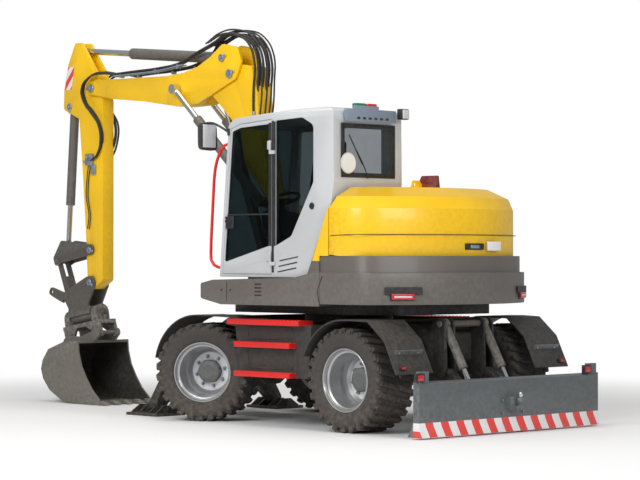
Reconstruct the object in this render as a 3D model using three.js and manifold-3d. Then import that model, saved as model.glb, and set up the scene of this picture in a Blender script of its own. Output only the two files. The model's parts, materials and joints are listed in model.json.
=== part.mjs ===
// Wheeled excavator with a two-piece boom, a rear blade and front stabilisers.
// Millimetres, X forward, Y left, Z up. While it is drawn, the slew axis is X = 0, Y = 0 and the
// ground is Z = 0. At the end the whole machine is moved so that the origin lies on the ground,
// under the middle of its box.
import * as THREE from 'three';
import { ConvexGeometry } from 'three/addons/geometries/ConvexGeometry.js';
import { mergeVertices } from 'three/addons/utils/BufferGeometryUtils.js';
import Module from 'manifold-3d';

const wasm = await Module();
wasm.setup();

// ---------------------------------------------------------------- driving dimensions
const GAP = 0.3;                 // between two pieces that touch
const RUN = 6;                   // between two pieces that move past each other

// undercarriage
const REAR_AXLE_X = -1100;
const FRONT_AXLE_X = 1108;
const TYRE_RADIUS = 477;
const TYRE_WIDTH = 480;
const WHEEL_OUTER_Y = 1165;
const RIM_RADIUS = 292;
const RIM_WIDTH = 430;
const DISC_RADIUS = 215;
const HUB_RADIUS = 112;
const KINGPIN_INSET = 396;       // from the tyre's outer face to the kingpin
const STEER_REST = 30;           // degrees to the left
const CHASSIS_HALF_WIDTH = 330;
const CHASSIS_BOTTOM = 520;
const CHASSIS_TOP = 985;
const AXLE_NOTCH_TOP = 660;         // the frame is notched above each axle
const CHASSIS_FRONT_X = 1640;
const CHASSIS_REAR_X = -1430;
const SLEW_RING_RADIUS = 430;
const SLEW_RING_TOP = 1058;
const FENDER_THICKNESS = 14;
const FENDER_TOP_Z = 1032;
const FRONT_FENDER_REACH = 640;  // ahead of the front axle, clear of the steered tyre
const FRONT_FENDER_Y = [640, 1010];
const REAR_FENDER_Y = [700, 1175];
const STEP_OUTER_Y = 1150;
const STEP_FRONT_X = 500;
const STEP_REAR_X = -560;
const STEP_TOP_Z = 1003;
const STEP_BOTTOM_Z = 465;

// rear blade
const BLADE_HALF_WIDTH = 1226;
const BLADE_FACE_X = -2112;
const BLADE_BOTTOM_Z = 16;
const BLADE_HEIGHT = 490;
const BLADE_THICKNESS = 30;
const BLADE_ARM_Y = 262;
const BLADE_ARM_PIVOT = [-1530, 520];
const BLADE_LOWER_PIN = [-1985, 215];
const BLADE_CYLINDER_TOP = [-1520, 980];
const BLADE_CYLINDER_FOOT = [-1890, 345];

// front stabilisers
const STABILISER_X = 1950;
const STABILISER_PIVOT_Y = 330;
const STABILISER_PIVOT_Z = 500;
const PAD_CENTRE_Y = 820;
const PAD_LENGTH = 500;
const PAD_WIDTH = 400;
const LEG_CYLINDER_TOP = [250, 850];       // [y, z]
const LEG_CYLINDER_FOOT = [610, 400];

const BLADE_CYLINDER_CLOSED = 545;
const LEG_CYLINDER_CLOSED = 385;

// upper structure
const DECK_TOP = 1160;
const SKIRT_BOTTOM = 1141;
const SKIRT_TOP = 1405;
const BODY_HALF_WIDTH = 1100;
const TAIL_RADIUS = 1722;
const HOOD_TAIL_RADIUS = 1615;
const HOOD_BOTTOM = 1606;
const HOOD_SHOULDER = 2040;
const HOOD_TOP = 2240;
const COUNTERWEIGHT_FRONT_X = -725;
const HOOD_FRONT_X = -840;
const WALL = 30;
const HOOD_HINGE_X = -960;
const HOOD_HINGE_Z = 2230;

// cab
const CAB_LEFT_Y = 1052;
const CAB_RIGHT_Y = 156;
const CAB_WALL = 45;
const CAB_SILL_Z = 1412;
const GLASS = 8;
const DOOR_HINGE_X = -30;

// boom, all side views as [x, z]
const FOOT_PIN = [860, 2030];
const LIFT_BASE = [1120, 1360];
const LIFT_EYE = [1864, 3315];
const BOOM_PIN = [1590, 3470];
const ADJUST_BASE = [1062, 2150];
const ADJUST_EYE = [2397, 3352];
const ARM_BASE = [1709, 3641];
const ARM_EYE = [4178, 3876];
const TIP_PIN = [3908, 3445];
const BUCKET_BASE = [4336, 3262];
const ROCKER_PIN = [3945, 1672];
const BUCKET_EYE = [4455, 1718];
const LINK_TOP = [4545, 1550];
const LINK_FOOT = [4370, 1146];
const COUPLER_PIN = [3935, 1317];
const TILT_REAR = [3879, 994];
const TILT_FRONT = [4380, 908];
const BUCKET_PINS = [[4290, 672], [3760, 775]];
const LOWER_HALF = 105;
const CHEEK = 25;
const STICK_HALF = 75;
const TIP_CHEEK = 24;
const ADJUST_Y = 196;
const TILT_AXLE = 42;
const BUCKET_HALF = 355;
const PIN = 30;
const SHAFT = PIN + 1;           // a shaft that joins a pair of barrels
const LIFT_CLOSED = 1500;
const ADJUST_CLOSED = 1380;
const ARM_CLOSED = 1700;
const BUCKET_CYLINDER_CLOSED = 1170;

// ---------------------------------------------------------------- materials
const paint = (color, roughness = 0.4, metalness = 0.1) =>
  new THREE.MeshStandardMaterial({ color, roughness, metalness });
const YELLOW = paint(0xf5c400);
const LIGHT_GREY = paint(0xc4c6c7, 0.35);
const WARM_GREY = paint(0x66625d, 0.45);
const BLACK_PLASTIC = paint(0x2b2826, 0.7, 0);
const BLADE_GREY = paint(0x454a4c, 0.5);
const FRAME_BLACK = paint(0x262626, 0.6, 0.2);
const RUBBER = paint(0x3c3a38, 0.9, 0);
const RIM_SILVER = paint(0xa9abad, 0.3, 0.8);
const STEEL = paint(0x6b6a64, 0.55, 0.4);
const CHROME = paint(0xd6d8da, 0.12, 1);
const GLASS_TINT = new THREE.MeshStandardMaterial({
  color: 0x22303a, roughness: 0.05, metalness: 0, transparent: true, opacity: 0.45,
});
const SEAT_CLOTH = paint(0x33363a, 0.9, 0);

// ---------------------------------------------------------------- solids
// A three.js geometry becomes a manifold-3d solid, so that pieces can be joined and cut.
function toSolid(geometry) {
  const bare = geometry.clone();
  bare.deleteAttribute('normal');
  bare.deleteAttribute('uv');
  const merged = mergeVertices(bare, 1e-3);
  const corners = merged.index.array;
  const faces = [];
  for (let i = 0; i < corners.length; i += 3) {
    const [a, b, c] = corners.slice(i, i + 3);
    if (a !== b && b !== c && c !== a) faces.push(a, b, c);
  }
  return new wasm.Manifold(new wasm.Mesh({
    numProp: 3,
    vertProperties: new Float32Array(merged.attributes.position.array),
    triVerts: new Uint32Array(faces),
  }));
}

// Joins any number of solids.
function join(...solids) {
  return solids.flat().reduce((sum, solid) => sum.add(solid));
}

// Cuts tools out of a solid.
function cut(solid, ...tools) {
  return tools.flat().reduce((rest, tool) => rest.subtract(tool), solid);
}

// A block between two corners.
function block(x0, x1, y0, y1, z0, z1) {
  const geometry = new THREE.BoxGeometry(x1 - x0, y1 - y0, z1 - z0);
  geometry.translate((x0 + x1) / 2, (y0 + y1) / 2, (z0 + z1) / 2);
  return toSolid(geometry);
}

// A shape outline: points are [u, v] or [u, v, radius], where the corner is rounded.
function outline(points) {
  const shape = new THREE.Shape();
  points.forEach(([u, v, radius = 0], i) => {
    const here = new THREE.Vector2(u, v);
    const before = new THREE.Vector2(...points.at(i - 1).slice(0, 2));
    const after = new THREE.Vector2(...points[(i + 1) % points.length].slice(0, 2));
    if (!radius) {
      if (i === 0) shape.moveTo(u, v);
      else shape.lineTo(u, v);
      return;
    }
    const toBefore = before.sub(here).normalize();
    const toAfter = after.sub(here).normalize();
    const half = Math.acos(THREE.MathUtils.clamp(toBefore.dot(toAfter), -1, 1)) / 2;
    const reach = radius / Math.tan(half);
    const start = here.clone().addScaledVector(toBefore, reach);
    const end = here.clone().addScaledVector(toAfter, reach);
    if (i === 0) shape.moveTo(start.x, start.y);
    else shape.lineTo(start.x, start.y);
    shape.quadraticCurveTo(u, v, end.x, end.y);
  });
  shape.closePath();
  return shape;
}

const CURVE_STEPS = 3;

function extrude(points, depth) {
  const shape = Array.isArray(points) ? outline(points) : points;
  const options = { depth, bevelEnabled: false, curveSegments: CURVE_STEPS };
  return new THREE.ExtrudeGeometry(shape, options);
}

// A side view [x, z] between two widths y.
function sidePrism(points, y0, y1) {
  const geometry = extrude(points, y1 - y0);
  geometry.rotateX(Math.PI / 2);
  geometry.translate(0, y1, 0);
  return toSolid(geometry);
}

// A plan [x, y] between two heights z.
function planPrism(points, z0, z1) {
  const geometry = extrude(points, z1 - z0);
  geometry.translate(0, 0, z0);
  return toSolid(geometry);
}

// A view from behind [y, z] between two lengths x.
function endPrism(points, x0, x1) {
  const geometry = extrude(points, x1 - x0);
  geometry.applyMatrix4(new THREE.Matrix4().set(
    0, 0, 1, x0,
    1, 0, 0, 0,
    0, 1, 0, 0,
    0, 0, 0, 1,
  ));
  return toSolid(geometry);
}

// The same side plate on both sides, between two distances from the middle.
function platePair(points, inner, outer) {
  return join(sidePrism(points, inner, outer), sidePrism(points, -outer, -inner));
}

// A round bar between two points, 3-D.
function bar(from, to, radius, sides = 12, twist = 0) {
  const a = new THREE.Vector3(...from);
  const b = new THREE.Vector3(...to);
  const along = b.clone().sub(a);
  const geometry = new THREE.CylinderGeometry(radius, radius, along.length(), sides, 1, false, twist);
  const turn = new THREE.Quaternion().setFromUnitVectors(
    new THREE.Vector3(0, 1, 0), along.clone().normalize());
  geometry.applyQuaternion(turn);
  geometry.translate(...a.clone().add(b).multiplyScalar(0.5).toArray());
  return toSolid(geometry);
}

// A cross pin through [x, z], between two widths y.
function pin([x, z], y0, y1, radius = PIN, sides = 12) {
  return bar([x, y0, z], [x, y1, z], radius, sides);
}

// A hole for a pin. Its flats clear the pin's corners at every angle.
function hole(from, to, radius, sides = 12) {
  const half = Math.PI / sides;
  return bar(from, to, (radius + GAP) / Math.cos(half), sides, half);
}

// A lathe about the Y axis through [x, z]. The profile is [radius, y] and closes on itself.
function turned(profile, [x, z], sides = 16) {
  const points = profile.map(([r, y]) => new THREE.Vector2(r, y));
  points.push(points[0].clone());
  const geometry = new THREE.LatheGeometry(points, sides);
  geometry.translate(x, 0, z);
  const solid = toSolid(geometry);
  if (solid.volume() > 0) return solid;
  const flipped = geometry.clone();
  const index = flipped.index.array;
  for (let i = 0; i < index.length; i += 3) {
    const keep = index[i];
    index[i] = index[i + 1];
    index[i + 1] = keep;
  }
  return toSolid(flipped);
}

// A tube of one radius along smooth 3-D points.
function tube(points, radius, steps = 24, sides = 6) {
  const path = new THREE.CatmullRomCurve3(points.map((p) => new THREE.Vector3(...p)), false, 'centripetal');
  const ring = Array.from({ length: sides }, (_, i) => {
    const angle = (i / sides) * 2 * Math.PI;
    return new THREE.Vector2(radius * Math.cos(angle), radius * Math.sin(angle));
  });
  return toSolid(new THREE.ExtrudeGeometry(new THREE.Shape(ring), { steps, extrudePath: path }));
}

// A solid as three.js geometry again.
function toGeometry(solid) {
  const { vertProperties, triVerts } = solid.getMesh();
  const geometry = new THREE.BufferGeometry();
  geometry.setAttribute('position', new THREE.BufferAttribute(vertProperties, 3));
  geometry.setIndex(new THREE.BufferAttribute(triVerts, 1));
  return geometry;
}

// A moved copy. A mirrored one gets its faces turned round.
function moved(solid, matrix) {
  const geometry = toGeometry(solid).applyMatrix4(matrix);
  if (matrix.determinant() < 0) geometry.index.array.reverse();
  return toSolid(geometry);
}

const mirrorY = (solid) => moved(solid, new THREE.Matrix4().makeScale(1, -1, 1));
const shift = (solid, x, y, z) => moved(solid, new THREE.Matrix4().makeTranslation(x, y, z));

// An outline with every edge moved inwards. The points run counter-clockwise or clockwise.
function inset(points, margin) {
  const area = points.reduce((sum, [x, y], i) => {
    const [u, v] = points[(i + 1) % points.length];
    return sum + x * v - u * y;
  }, 0);
  const side = Math.sign(area) * margin;
  const edges = points.map(([x, y], i) => {
    const [u, v] = points[(i + 1) % points.length];
    const length = Math.hypot(u - x, v - y);
    const [nx, ny] = [(-(v - y) / length) * side, ((u - x) / length) * side];
    return { x: x + nx, y: y + ny, dx: u - x, dy: v - y };
  });
  return points.map(([, , radius = 0], i) => {
    const a = edges.at(i - 1);
    const b = edges[i];
    const t = ((b.x - a.x) * b.dy - (b.y - a.y) * b.dx) / (a.dx * b.dy - a.dy * b.dx);
    return [a.x + a.dx * t, a.y + a.dy * t, Math.max(radius - margin, 0)];
  });
}
const midpoint = ([x0, z0], [x1, z1], t = 0.5) => [x0 + (x1 - x0) * t, z0 + (z1 - z0) * t];
const distance = ([x0, z0], [x1, z1]) => Math.hypot(x1 - x0, z1 - z0);

// ---------------------------------------------------------------- scene graph
const machine = new THREE.Group();
machine.name = 'machine';

// A group whose origin is a joint's place, given in the machine's frame.
function pivot(name, parent, place) {
  const group = new THREE.Group();
  group.name = `joint_${name}`;
  parent.updateWorldMatrix(true, false);
  group.position.copy(parent.worldToLocal(new THREE.Vector3(...place)));
  parent.add(group);
  return group;
}

// Puts a solid that is drawn in the machine's frame into a group, as a named piece.
function piece(name, parent, solid, material) {
  parent.updateWorldMatrix(true, false);
  const geometry = toGeometry(solid).applyMatrix4(parent.matrixWorld.clone().invert());
  geometry.computeVertexNormals();
  const mesh = new THREE.Mesh(geometry, material);
  mesh.name = name;
  parent.add(mesh);
  return mesh;
}

// ---------------------------------------------------------------- undercarriage
const AXLE_Z = TYRE_RADIUS;
const WHEEL_CENTRE_Y = WHEEL_OUTER_Y - TYRE_WIDTH / 2;
const KINGPIN_Y = WHEEL_OUTER_Y - KINGPIN_INSET;
const DISC_PLANE = -52;                    // outer face of the wheel disc, from the middle plane
const DISC_THICKNESS = 22;
const HUB_BACK = DISC_PLANE - DISC_THICKNESS - 30;   // back of the hub, from the middle plane

function chassisFrame() {
  const side = [
    [CHASSIS_REAR_X, 640, 40], [CHASSIS_REAR_X + 120, CHASSIS_BOTTOM, 40],
    [CHASSIS_FRONT_X - 100, CHASSIS_BOTTOM, 40], [CHASSIS_FRONT_X, 620, 40],
    [CHASSIS_FRONT_X, 860, 60], [CHASSIS_FRONT_X - 240, CHASSIS_TOP, 60],
    [CHASSIS_REAR_X + 330, CHASSIS_TOP, 60], [CHASSIS_REAR_X, 900, 60],
  ];
  const notches = [REAR_AXLE_X, FRONT_AXLE_X].map((x) =>
    block(x - 185, x + 185, -CHASSIS_HALF_WIDTH - 10, CHASSIS_HALF_WIDTH + 10, 0, AXLE_NOTCH_TOP));
  const body = cut(sidePrism(side, -CHASSIS_HALF_WIDTH, CHASSIS_HALF_WIDTH), notches);
  const ringProfile = [[SLEW_RING_RADIUS - 120, 0], [SLEW_RING_RADIUS, 0],
    [SLEW_RING_RADIUS, SLEW_RING_TOP - CHASSIS_TOP + 40], [SLEW_RING_RADIUS - 120,
        SLEW_RING_TOP - CHASSIS_TOP + 40]];
  const ring = moved(turned(ringProfile, [0, 0], 24),
    new THREE.Matrix4().makeRotationX(Math.PI / 2).setPosition(0, 0, CHASSIS_TOP - 40));
  // The step boxes hang on two outriggers, and the stabiliser legs hinge in a cross beam.
  const outriggers = [-330, 260].map((x) =>
    block(x - 50, x + 50, -STEP_OUTER_Y + 170, STEP_OUTER_Y - 170, 700, 820));
  const beam = endPrism([
    [-STABILISER_PIVOT_Y - 90, STABILISER_PIVOT_Z - 90, 50], [STABILISER_PIVOT_Y + 90,
        STABILISER_PIVOT_Z - 90, 50],
    [STABILISER_PIVOT_Y + 90, STABILISER_PIVOT_Z + 90, 50], [LEG_CYLINDER_TOP[0] + 80, 915, 50],
    [-LEG_CYLINDER_TOP[0] - 80, 915, 50], [-STABILISER_PIVOT_Y - 90, STABILISER_PIVOT_Z + 90, 50],
  ], CHASSIS_FRONT_X - 10, STABILISER_X + 110);
  // Slots in the beam take the two legs and their cylinders.
  const slot = endPrism([
    [150, STABILISER_PIVOT_Z - 200], [STABILISER_PIVOT_Y + 200, STABILISER_PIVOT_Z - 200],
    [STABILISER_PIVOT_Y + 200, 1000], [150, 1000],
  ], STABILISER_X - 68, STABILISER_X + 68);
  const blade = bladeBrackets();
  const whole = join(body, ring, ...outriggers, beam, ...blade);
  const legPins = [-1, 1].flatMap((s) => [
    bar([CHASSIS_FRONT_X + 40, s * STABILISER_PIVOT_Y, STABILISER_PIVOT_Z],
      [STABILISER_X + 105, s * STABILISER_PIVOT_Y, STABILISER_PIVOT_Z], PIN),
    bar([CHASSIS_FRONT_X + 40, s * LEG_CYLINDER_TOP[0], LEG_CYLINDER_TOP[1]],
      [STABILISER_X + 105, s * LEG_CYLINDER_TOP[0], LEG_CYLINDER_TOP[1]], PIN),
  ]);
  return join(cut(whole, slot, mirrorY(slot)), ...legPins);
}

// Two pairs of ears at the rear end carry the blade's arms and its cylinders.
const EAR = 18;
const EYE_HALF = 42;             // half the width of a bar or an eye between two ears

function bladeBrackets() {
  const [armX, armZ] = BLADE_ARM_PIVOT;
  const [topX, topZ] = BLADE_CYLINDER_TOP;
  const inner = EYE_HALF + RUN;
  const outer = inner + EAR;
  const plate = [
    [CHASSIS_REAR_X + 40, armZ - 10], [armX - 20, armZ - 70, 60], [armX - 70, armZ + 60, 60],
    [topX - 70, topZ + 10, 40], [topX - 10, topZ + 75, 60], [topX + 110, topZ - 10, 30],
    [CHASSIS_REAR_X + 40, topZ - 90],
  ];
  const ears = [];
  for (const side of [-1, 1]) {
    const y = side * BLADE_ARM_Y;
    ears.push(sidePrism(plate, y - outer, y - inner), sidePrism(plate, y + inner, y + outer));
    ears.push(pin(BLADE_ARM_PIVOT, y - outer, y + outer));
  }
  const shaftHole = pinHole(BLADE_CYLINDER_TOP, 1000, SHAFT);
  return ears.map((ear) => cut(ear, shaftHole));
}

// A hole for a cross pin, through [x, z].
const pinHole = ([x, z], half, radius = PIN) => hole([x, -half, z], [x, half, z], radius);

// An axle: a round beam with a differential in the middle, and a pad under the chassis.
function axle(x, end) {
  const diff = turned([[0, -190], [90, -190], [165, -60], [165, 60], [90, 190], [0, 190]], [x, AXLE_Z]);
  const beam = bar([x, -end, AXLE_Z], [x, end, AXLE_Z], 62);
  const pad = block(x - 120, x + 120, -250, 250, AXLE_Z - 20, AXLE_NOTCH_TOP - GAP);
  return join(diff, beam, pad);
}

function frontAxle() {
  const forks = [-1, 1].map((side) => {
    const y = side * KINGPIN_Y;
    const yoke = join(
      block(FRONT_AXLE_X - 55, FRONT_AXLE_X + 55, Math.min(y, y - side * 130), Math.max(y, y - side * 130),
        AXLE_Z - 130, AXLE_Z + 130),
      bar([FRONT_AXLE_X, y, AXLE_Z - 130], [FRONT_AXLE_X, y, AXLE_Z + 130], 42));
    return cut(yoke, block(FRONT_AXLE_X - 80, FRONT_AXLE_X + 80, Math.min(y - side * 75, y + side * 80),
      Math.max(y - side * 75, y + side * 80), AXLE_Z - 95, AXLE_Z + 95));
  });
  const body = axle(FRONT_AXLE_X, KINGPIN_Y - 80);
  // The steering cylinder lies behind the axle.
  const steering = bar([FRONT_AXLE_X - 120, -210, AXLE_Z], [FRONT_AXLE_X - 120, 210, AXLE_Z], 38);
  const clamp = block(FRONT_AXLE_X - 130, FRONT_AXLE_X - 30, -90, 90, AXLE_Z - 30, AXLE_Z + 30);
  return join(body, ...forks, steering, clamp);
}

// Drawn for the left side, straight ahead. The hub turns with the kingpin and carries the wheel.
function knuckle() {
  const y = KINGPIN_Y;
  const swivel = bar([FRONT_AXLE_X, y, AXLE_Z - 95 + GAP], [FRONT_AXLE_X, y, AXLE_Z + 95 - GAP], 42);
  const spindle = bar([FRONT_AXLE_X, y, AXLE_Z], [FRONT_AXLE_X, WHEEL_CENTRE_Y + HUB_BACK - GAP, AXLE_Z],
      62);
  return join(swivel, spindle);
}

// A rim: well, two flanges, a dished disc and the planetary hub with its cover.
function rim(place) {
  const half = RIM_WIDTH / 2;
  const inner = DISC_PLANE - DISC_THICKNESS;
  const profile = [
    [HUB_RADIUS, inner], [DISC_RADIUS, inner], [RIM_RADIUS - 62, inner - 50],
    [RIM_RADIUS - 40, -half], [RIM_RADIUS, -half], [RIM_RADIUS, -half + 12],
    [RIM_RADIUS - 24, -half + 26], [RIM_RADIUS - 24, half - 26], [RIM_RADIUS, half - 12],
    [RIM_RADIUS, half], [RIM_RADIUS - 40, half], [RIM_RADIUS - 40, 84],
    [RIM_RADIUS - 62, 34], [RIM_RADIUS - 62, DISC_PLANE - 10], [DISC_RADIUS, DISC_PLANE],
    [HUB_RADIUS, DISC_PLANE],
  ];
  const hub = [[0, HUB_BACK], [HUB_RADIUS + 18, HUB_BACK], [HUB_RADIUS + 18, DISC_PLANE - 4],
    [HUB_RADIUS, DISC_PLANE + 6], [HUB_RADIUS, DISC_PLANE + 76], [HUB_RADIUS - 14, DISC_PLANE + 84],
    [0, DISC_PLANE + 84]];
  return join(turned(profile, place), turned(hub, place));
}

function tyre(place) {
  const half = TYRE_WIDTH / 2;
  const seat = RIM_WIDTH / 2 - 26.4;
  const bead = RIM_WIDTH / 2 - 12.4;
  return turned([
    [RIM_RADIUS - 24 + GAP, -seat], [RIM_RADIUS + GAP, -bead], [RIM_RADIUS + 100, -half],
    [TYRE_RADIUS - 30, -half + 14], [TYRE_RADIUS, -half + 56], [TYRE_RADIUS, half - 56],
    [TYRE_RADIUS - 30, half - 14], [RIM_RADIUS + 100, half],
    [RIM_RADIUS + GAP, bead], [RIM_RADIUS - 24 + GAP, seat],
  ], place, 32);
}

// The outline of a bent sheet: its outer path, and the same path moved inwards by the thickness.
function sheet(path, thickness) {
  const inner = path.map(([x, z], i) => {
    const [x0, z0] = path[Math.max(i - 1, 0)];
    const [x1, z1] = path[Math.min(i + 1, path.length - 1)];
    const length = Math.hypot(x1 - x0, z1 - z0);
    return [x + ((z1 - z0) / length) * thickness, z - ((x1 - x0) / length) * thickness];
  });
  return [...path, ...inner.reverse()];
}

// Points on an ellipse about an axle, from one angle to another.
function arc([x, z], [reachX, reachZ], fromDegrees, toDegrees, steps) {
  return Array.from({ length: steps + 1 }, (_, i) => {
    const angle = THREE.MathUtils.degToRad(fromDegrees + ((toDegrees - fromDegrees) * i) / steps);
    return [x + reachX * Math.cos(angle), z + reachZ * Math.sin(angle)];
  });
}

// Both front fenders, joined by the bracket that carries them over the chassis.
function frontFenders() {
  const path = [[STEP_FRONT_X + GAP, FENDER_TOP_Z - 8], [FRONT_AXLE_X - 260, FENDER_TOP_Z],
    ...arc([FRONT_AXLE_X, AXLE_Z], [FRONT_FENDER_REACH, FENDER_TOP_Z - AXLE_Z], 96, 12, 12)];
  const [y0, y1] = FRONT_FENDER_Y;
  const left = sidePrism(sheet(path, FENDER_THICKNESS), y0, y1);
  const strutX = FRONT_AXLE_X - 330;
  const strut = block(strutX, strutX + 60, -y0 - 20, y0 + 20, FENDER_TOP_Z - 40, FENDER_TOP_Z - 8);
  const foot = block(strutX, strutX + 60, -CHASSIS_HALF_WIDTH - 30, CHASSIS_HALF_WIDTH + 30,
    CHASSIS_TOP + GAP, FENDER_TOP_Z - 20);
  return join(left, mirrorY(left), strut, foot);
}

// Both rear fenders with their mud-flap panels, joined by a cross tube behind the slew ring.
function rearFenders() {
  const path = [[REAR_AXLE_X - 690, AXLE_Z + 80], [REAR_AXLE_X - 545, AXLE_Z + 370],
    [REAR_AXLE_X - 330, FENDER_TOP_Z - 8], [REAR_AXLE_X - 120, FENDER_TOP_Z],
    ...arc([REAR_AXLE_X, AXLE_Z], [FENDER_TOP_Z - AXLE_Z, FENDER_TOP_Z - AXLE_Z], 84, 22, 8)];
  const [y0, y1] = REAR_FENDER_Y;
  const left = sidePrism(sheet(path, FENDER_THICKNESS), y0, y1);
  const strutX = REAR_AXLE_X + 60;
  const strut = block(strutX, strutX + 60, -y0 - 20, y0 + 20, FENDER_TOP_Z - 46, FENDER_TOP_Z - 14);
  const foot = block(strutX, strutX + 60, -CHASSIS_HALF_WIDTH - 30, CHASSIS_HALF_WIDTH + 30,
    CHASSIS_TOP + GAP, FENDER_TOP_Z - 20);
  return join(left, mirrorY(left), strut, foot);
}

// The left step box: a closed bin with three treads. It hangs on the chassis outriggers.
function stepBox() {
  const inner = CHASSIS_HALF_WIDTH + GAP;
  const face = STEP_OUTER_Y - 90;
  const side = [[STEP_FRONT_X - 20, STEP_TOP_Z - 40], [STEP_FRONT_X - 105, STEP_BOTTOM_Z, 30],
    [STEP_REAR_X + 15, STEP_BOTTOM_Z, 30], [STEP_REAR_X - 20, STEP_TOP_Z - 40]];
  const bin = sidePrism(side, inner + 120, face);
  const middleZ = (STEP_TOP_Z + STEP_BOTTOM_Z) / 2;
  const treads = [
    block(STEP_REAR_X + 60, STEP_FRONT_X - 5, face - 100, STEP_OUTER_Y, STEP_TOP_Z - 47, STEP_TOP_Z),
    block(STEP_REAR_X + 185, STEP_FRONT_X - 105, face - 10, STEP_OUTER_Y, middleZ + 8, middleZ + 58),
    block(STEP_REAR_X + 185, STEP_FRONT_X - 105, face - 10, STEP_OUTER_Y, STEP_BOTTOM_Z,
        STEP_BOTTOM_Z + 50),
  ];
  const hanger = block(-380 - GAP, -280 + GAP, inner, STEP_OUTER_Y - 170 + GAP, 700 - GAP, 820 + GAP);
  const hangerFront = shift(hanger, 590, 0, 0);
  return cut(join(bin, ...treads), hanger, hangerFront);
}

// ---------------------------------------------------------------- rear blade
const BLADE_EAR_GAP = 30;                  // half the gap between the ears on an arm

function bladeArms() {
  const inner = EYE_HALF;
  const [armX, armZ] = BLADE_ARM_PIVOT;
  const [pinX, pinZ] = BLADE_LOWER_PIN;
  const [footX, footZ] = BLADE_CYLINDER_FOOT;
  const side = [[armX + 52, armZ - 20, 40], [armX + 30, armZ + 58, 40], [armX - 60, armZ + 50],
    [pinX + 40, pinZ + 62, 30], [pinX - 52, pinZ + 40, 40], [pinX - 45, pinZ - 50, 40], [pinX + 60,
        pinZ - 50],
    [armX - 20, armZ - 62, 30]];
  const ear = [[footX + 70, footZ - 60], [footX + 44, footZ + 30, 30], [footX - 44, footZ + 44, 40],
    [footX - 60, footZ - 120]];
  const slot = [[footX + 120, footZ + 150], [footX + 66, footZ - 60], [footX - 62, footZ - 64],
    [footX - 62, footZ + 150]];
  const arms = [-1, 1].map((s) => {
    const y = s * BLADE_ARM_Y;
    const bodies = join(sidePrism(side, y - inner, y + inner), sidePrism(ear, y - inner, y + inner));
    return cut(bodies, sidePrism(slot, y - BLADE_EAR_GAP, y + BLADE_EAR_GAP),
      pinHole(BLADE_ARM_PIVOT, 1000), pinHole(BLADE_LOWER_PIN, 1000));
  });
  const [tieX, tieZ] = midpoint(BLADE_ARM_PIVOT, BLADE_LOWER_PIN, 0.55);
  const tie = pin([tieX, tieZ], -BLADE_ARM_Y, BLADE_ARM_Y, 48);
  return join(...arms, tie);
}

function blade() {
  const back = BLADE_FACE_X + BLADE_THICKNESS;
  const top = BLADE_BOTTOM_Z + BLADE_HEIGHT;
  // The face is flat with its top lip folded forward and its cutting edge kicked back.
  const section = [[BLADE_FACE_X - 20, BLADE_BOTTOM_Z], [BLADE_FACE_X, BLADE_BOTTOM_Z + 95],
    [BLADE_FACE_X, top - 20], [BLADE_FACE_X + 45, top], [BLADE_FACE_X + 60, top - 22],
    [back, top - 50], [back, BLADE_BOTTOM_Z + 90], [back + 50, BLADE_BOTTOM_Z]];
  const plate = sidePrism(section, -BLADE_HALF_WIDTH, BLADE_HALF_WIDTH);
  const cheekSide = [[BLADE_FACE_X - 20, BLADE_BOTTOM_Z], [BLADE_FACE_X, BLADE_BOTTOM_Z + 95],
    [BLADE_FACE_X, top], [back + 40, top], [back + 40, BLADE_BOTTOM_Z + 120], [back + 110, BLADE_BOTTOM_Z]];
  const cheek = sidePrism(cheekSide, BLADE_HALF_WIDTH - 14, BLADE_HALF_WIDTH);
  const pieces = [plate, cheek, mirrorY(cheek)];
  const inner = EYE_HALF + RUN;
  const outer = inner + EAR;
  const [pinX, pinZ] = BLADE_LOWER_PIN;
  const ear = [[back - 5, pinZ - 110], [pinX + 20, pinZ - 50, 40], [pinX + 50, pinZ + 30, 40], [back - 5,
      pinZ + 130]];
  for (const side of [-1, 1]) {
    const y = side * BLADE_ARM_Y;
    pieces.push(sidePrism(ear, y - outer, y - inner), sidePrism(ear, y + inner, y + outer));
    pieces.push(pin(BLADE_LOWER_PIN, y - outer, y + outer));
  }
  // The tow coupling: a bolted block with a ball in front of the blade's face.
  const face = BLADE_FACE_X + 5;
  pieces.push(block(face - 60, face, -75, 75, 215, 330), block(face - 130, face - 50, -20, 20, 215, 250));
  pieces.push(bar([face - 100, 0, 240], [face - 100, 0, 275], 16));
  const ball = new THREE.SphereGeometry(32, 12, 8);
  ball.translate(face - 100, 0, 300);
  pieces.push(toSolid(ball));
  // A lamp bracket stands at each top corner.
  for (const side of [-1, 1]) {
    const y = side * (BLADE_HALF_WIDTH - 75);
    pieces.push(block(BLADE_FACE_X + 10, BLADE_FACE_X + 50, y - 60, y + 60, top - 30, top + 88));
  }
  return join(...pieces);
}

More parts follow.
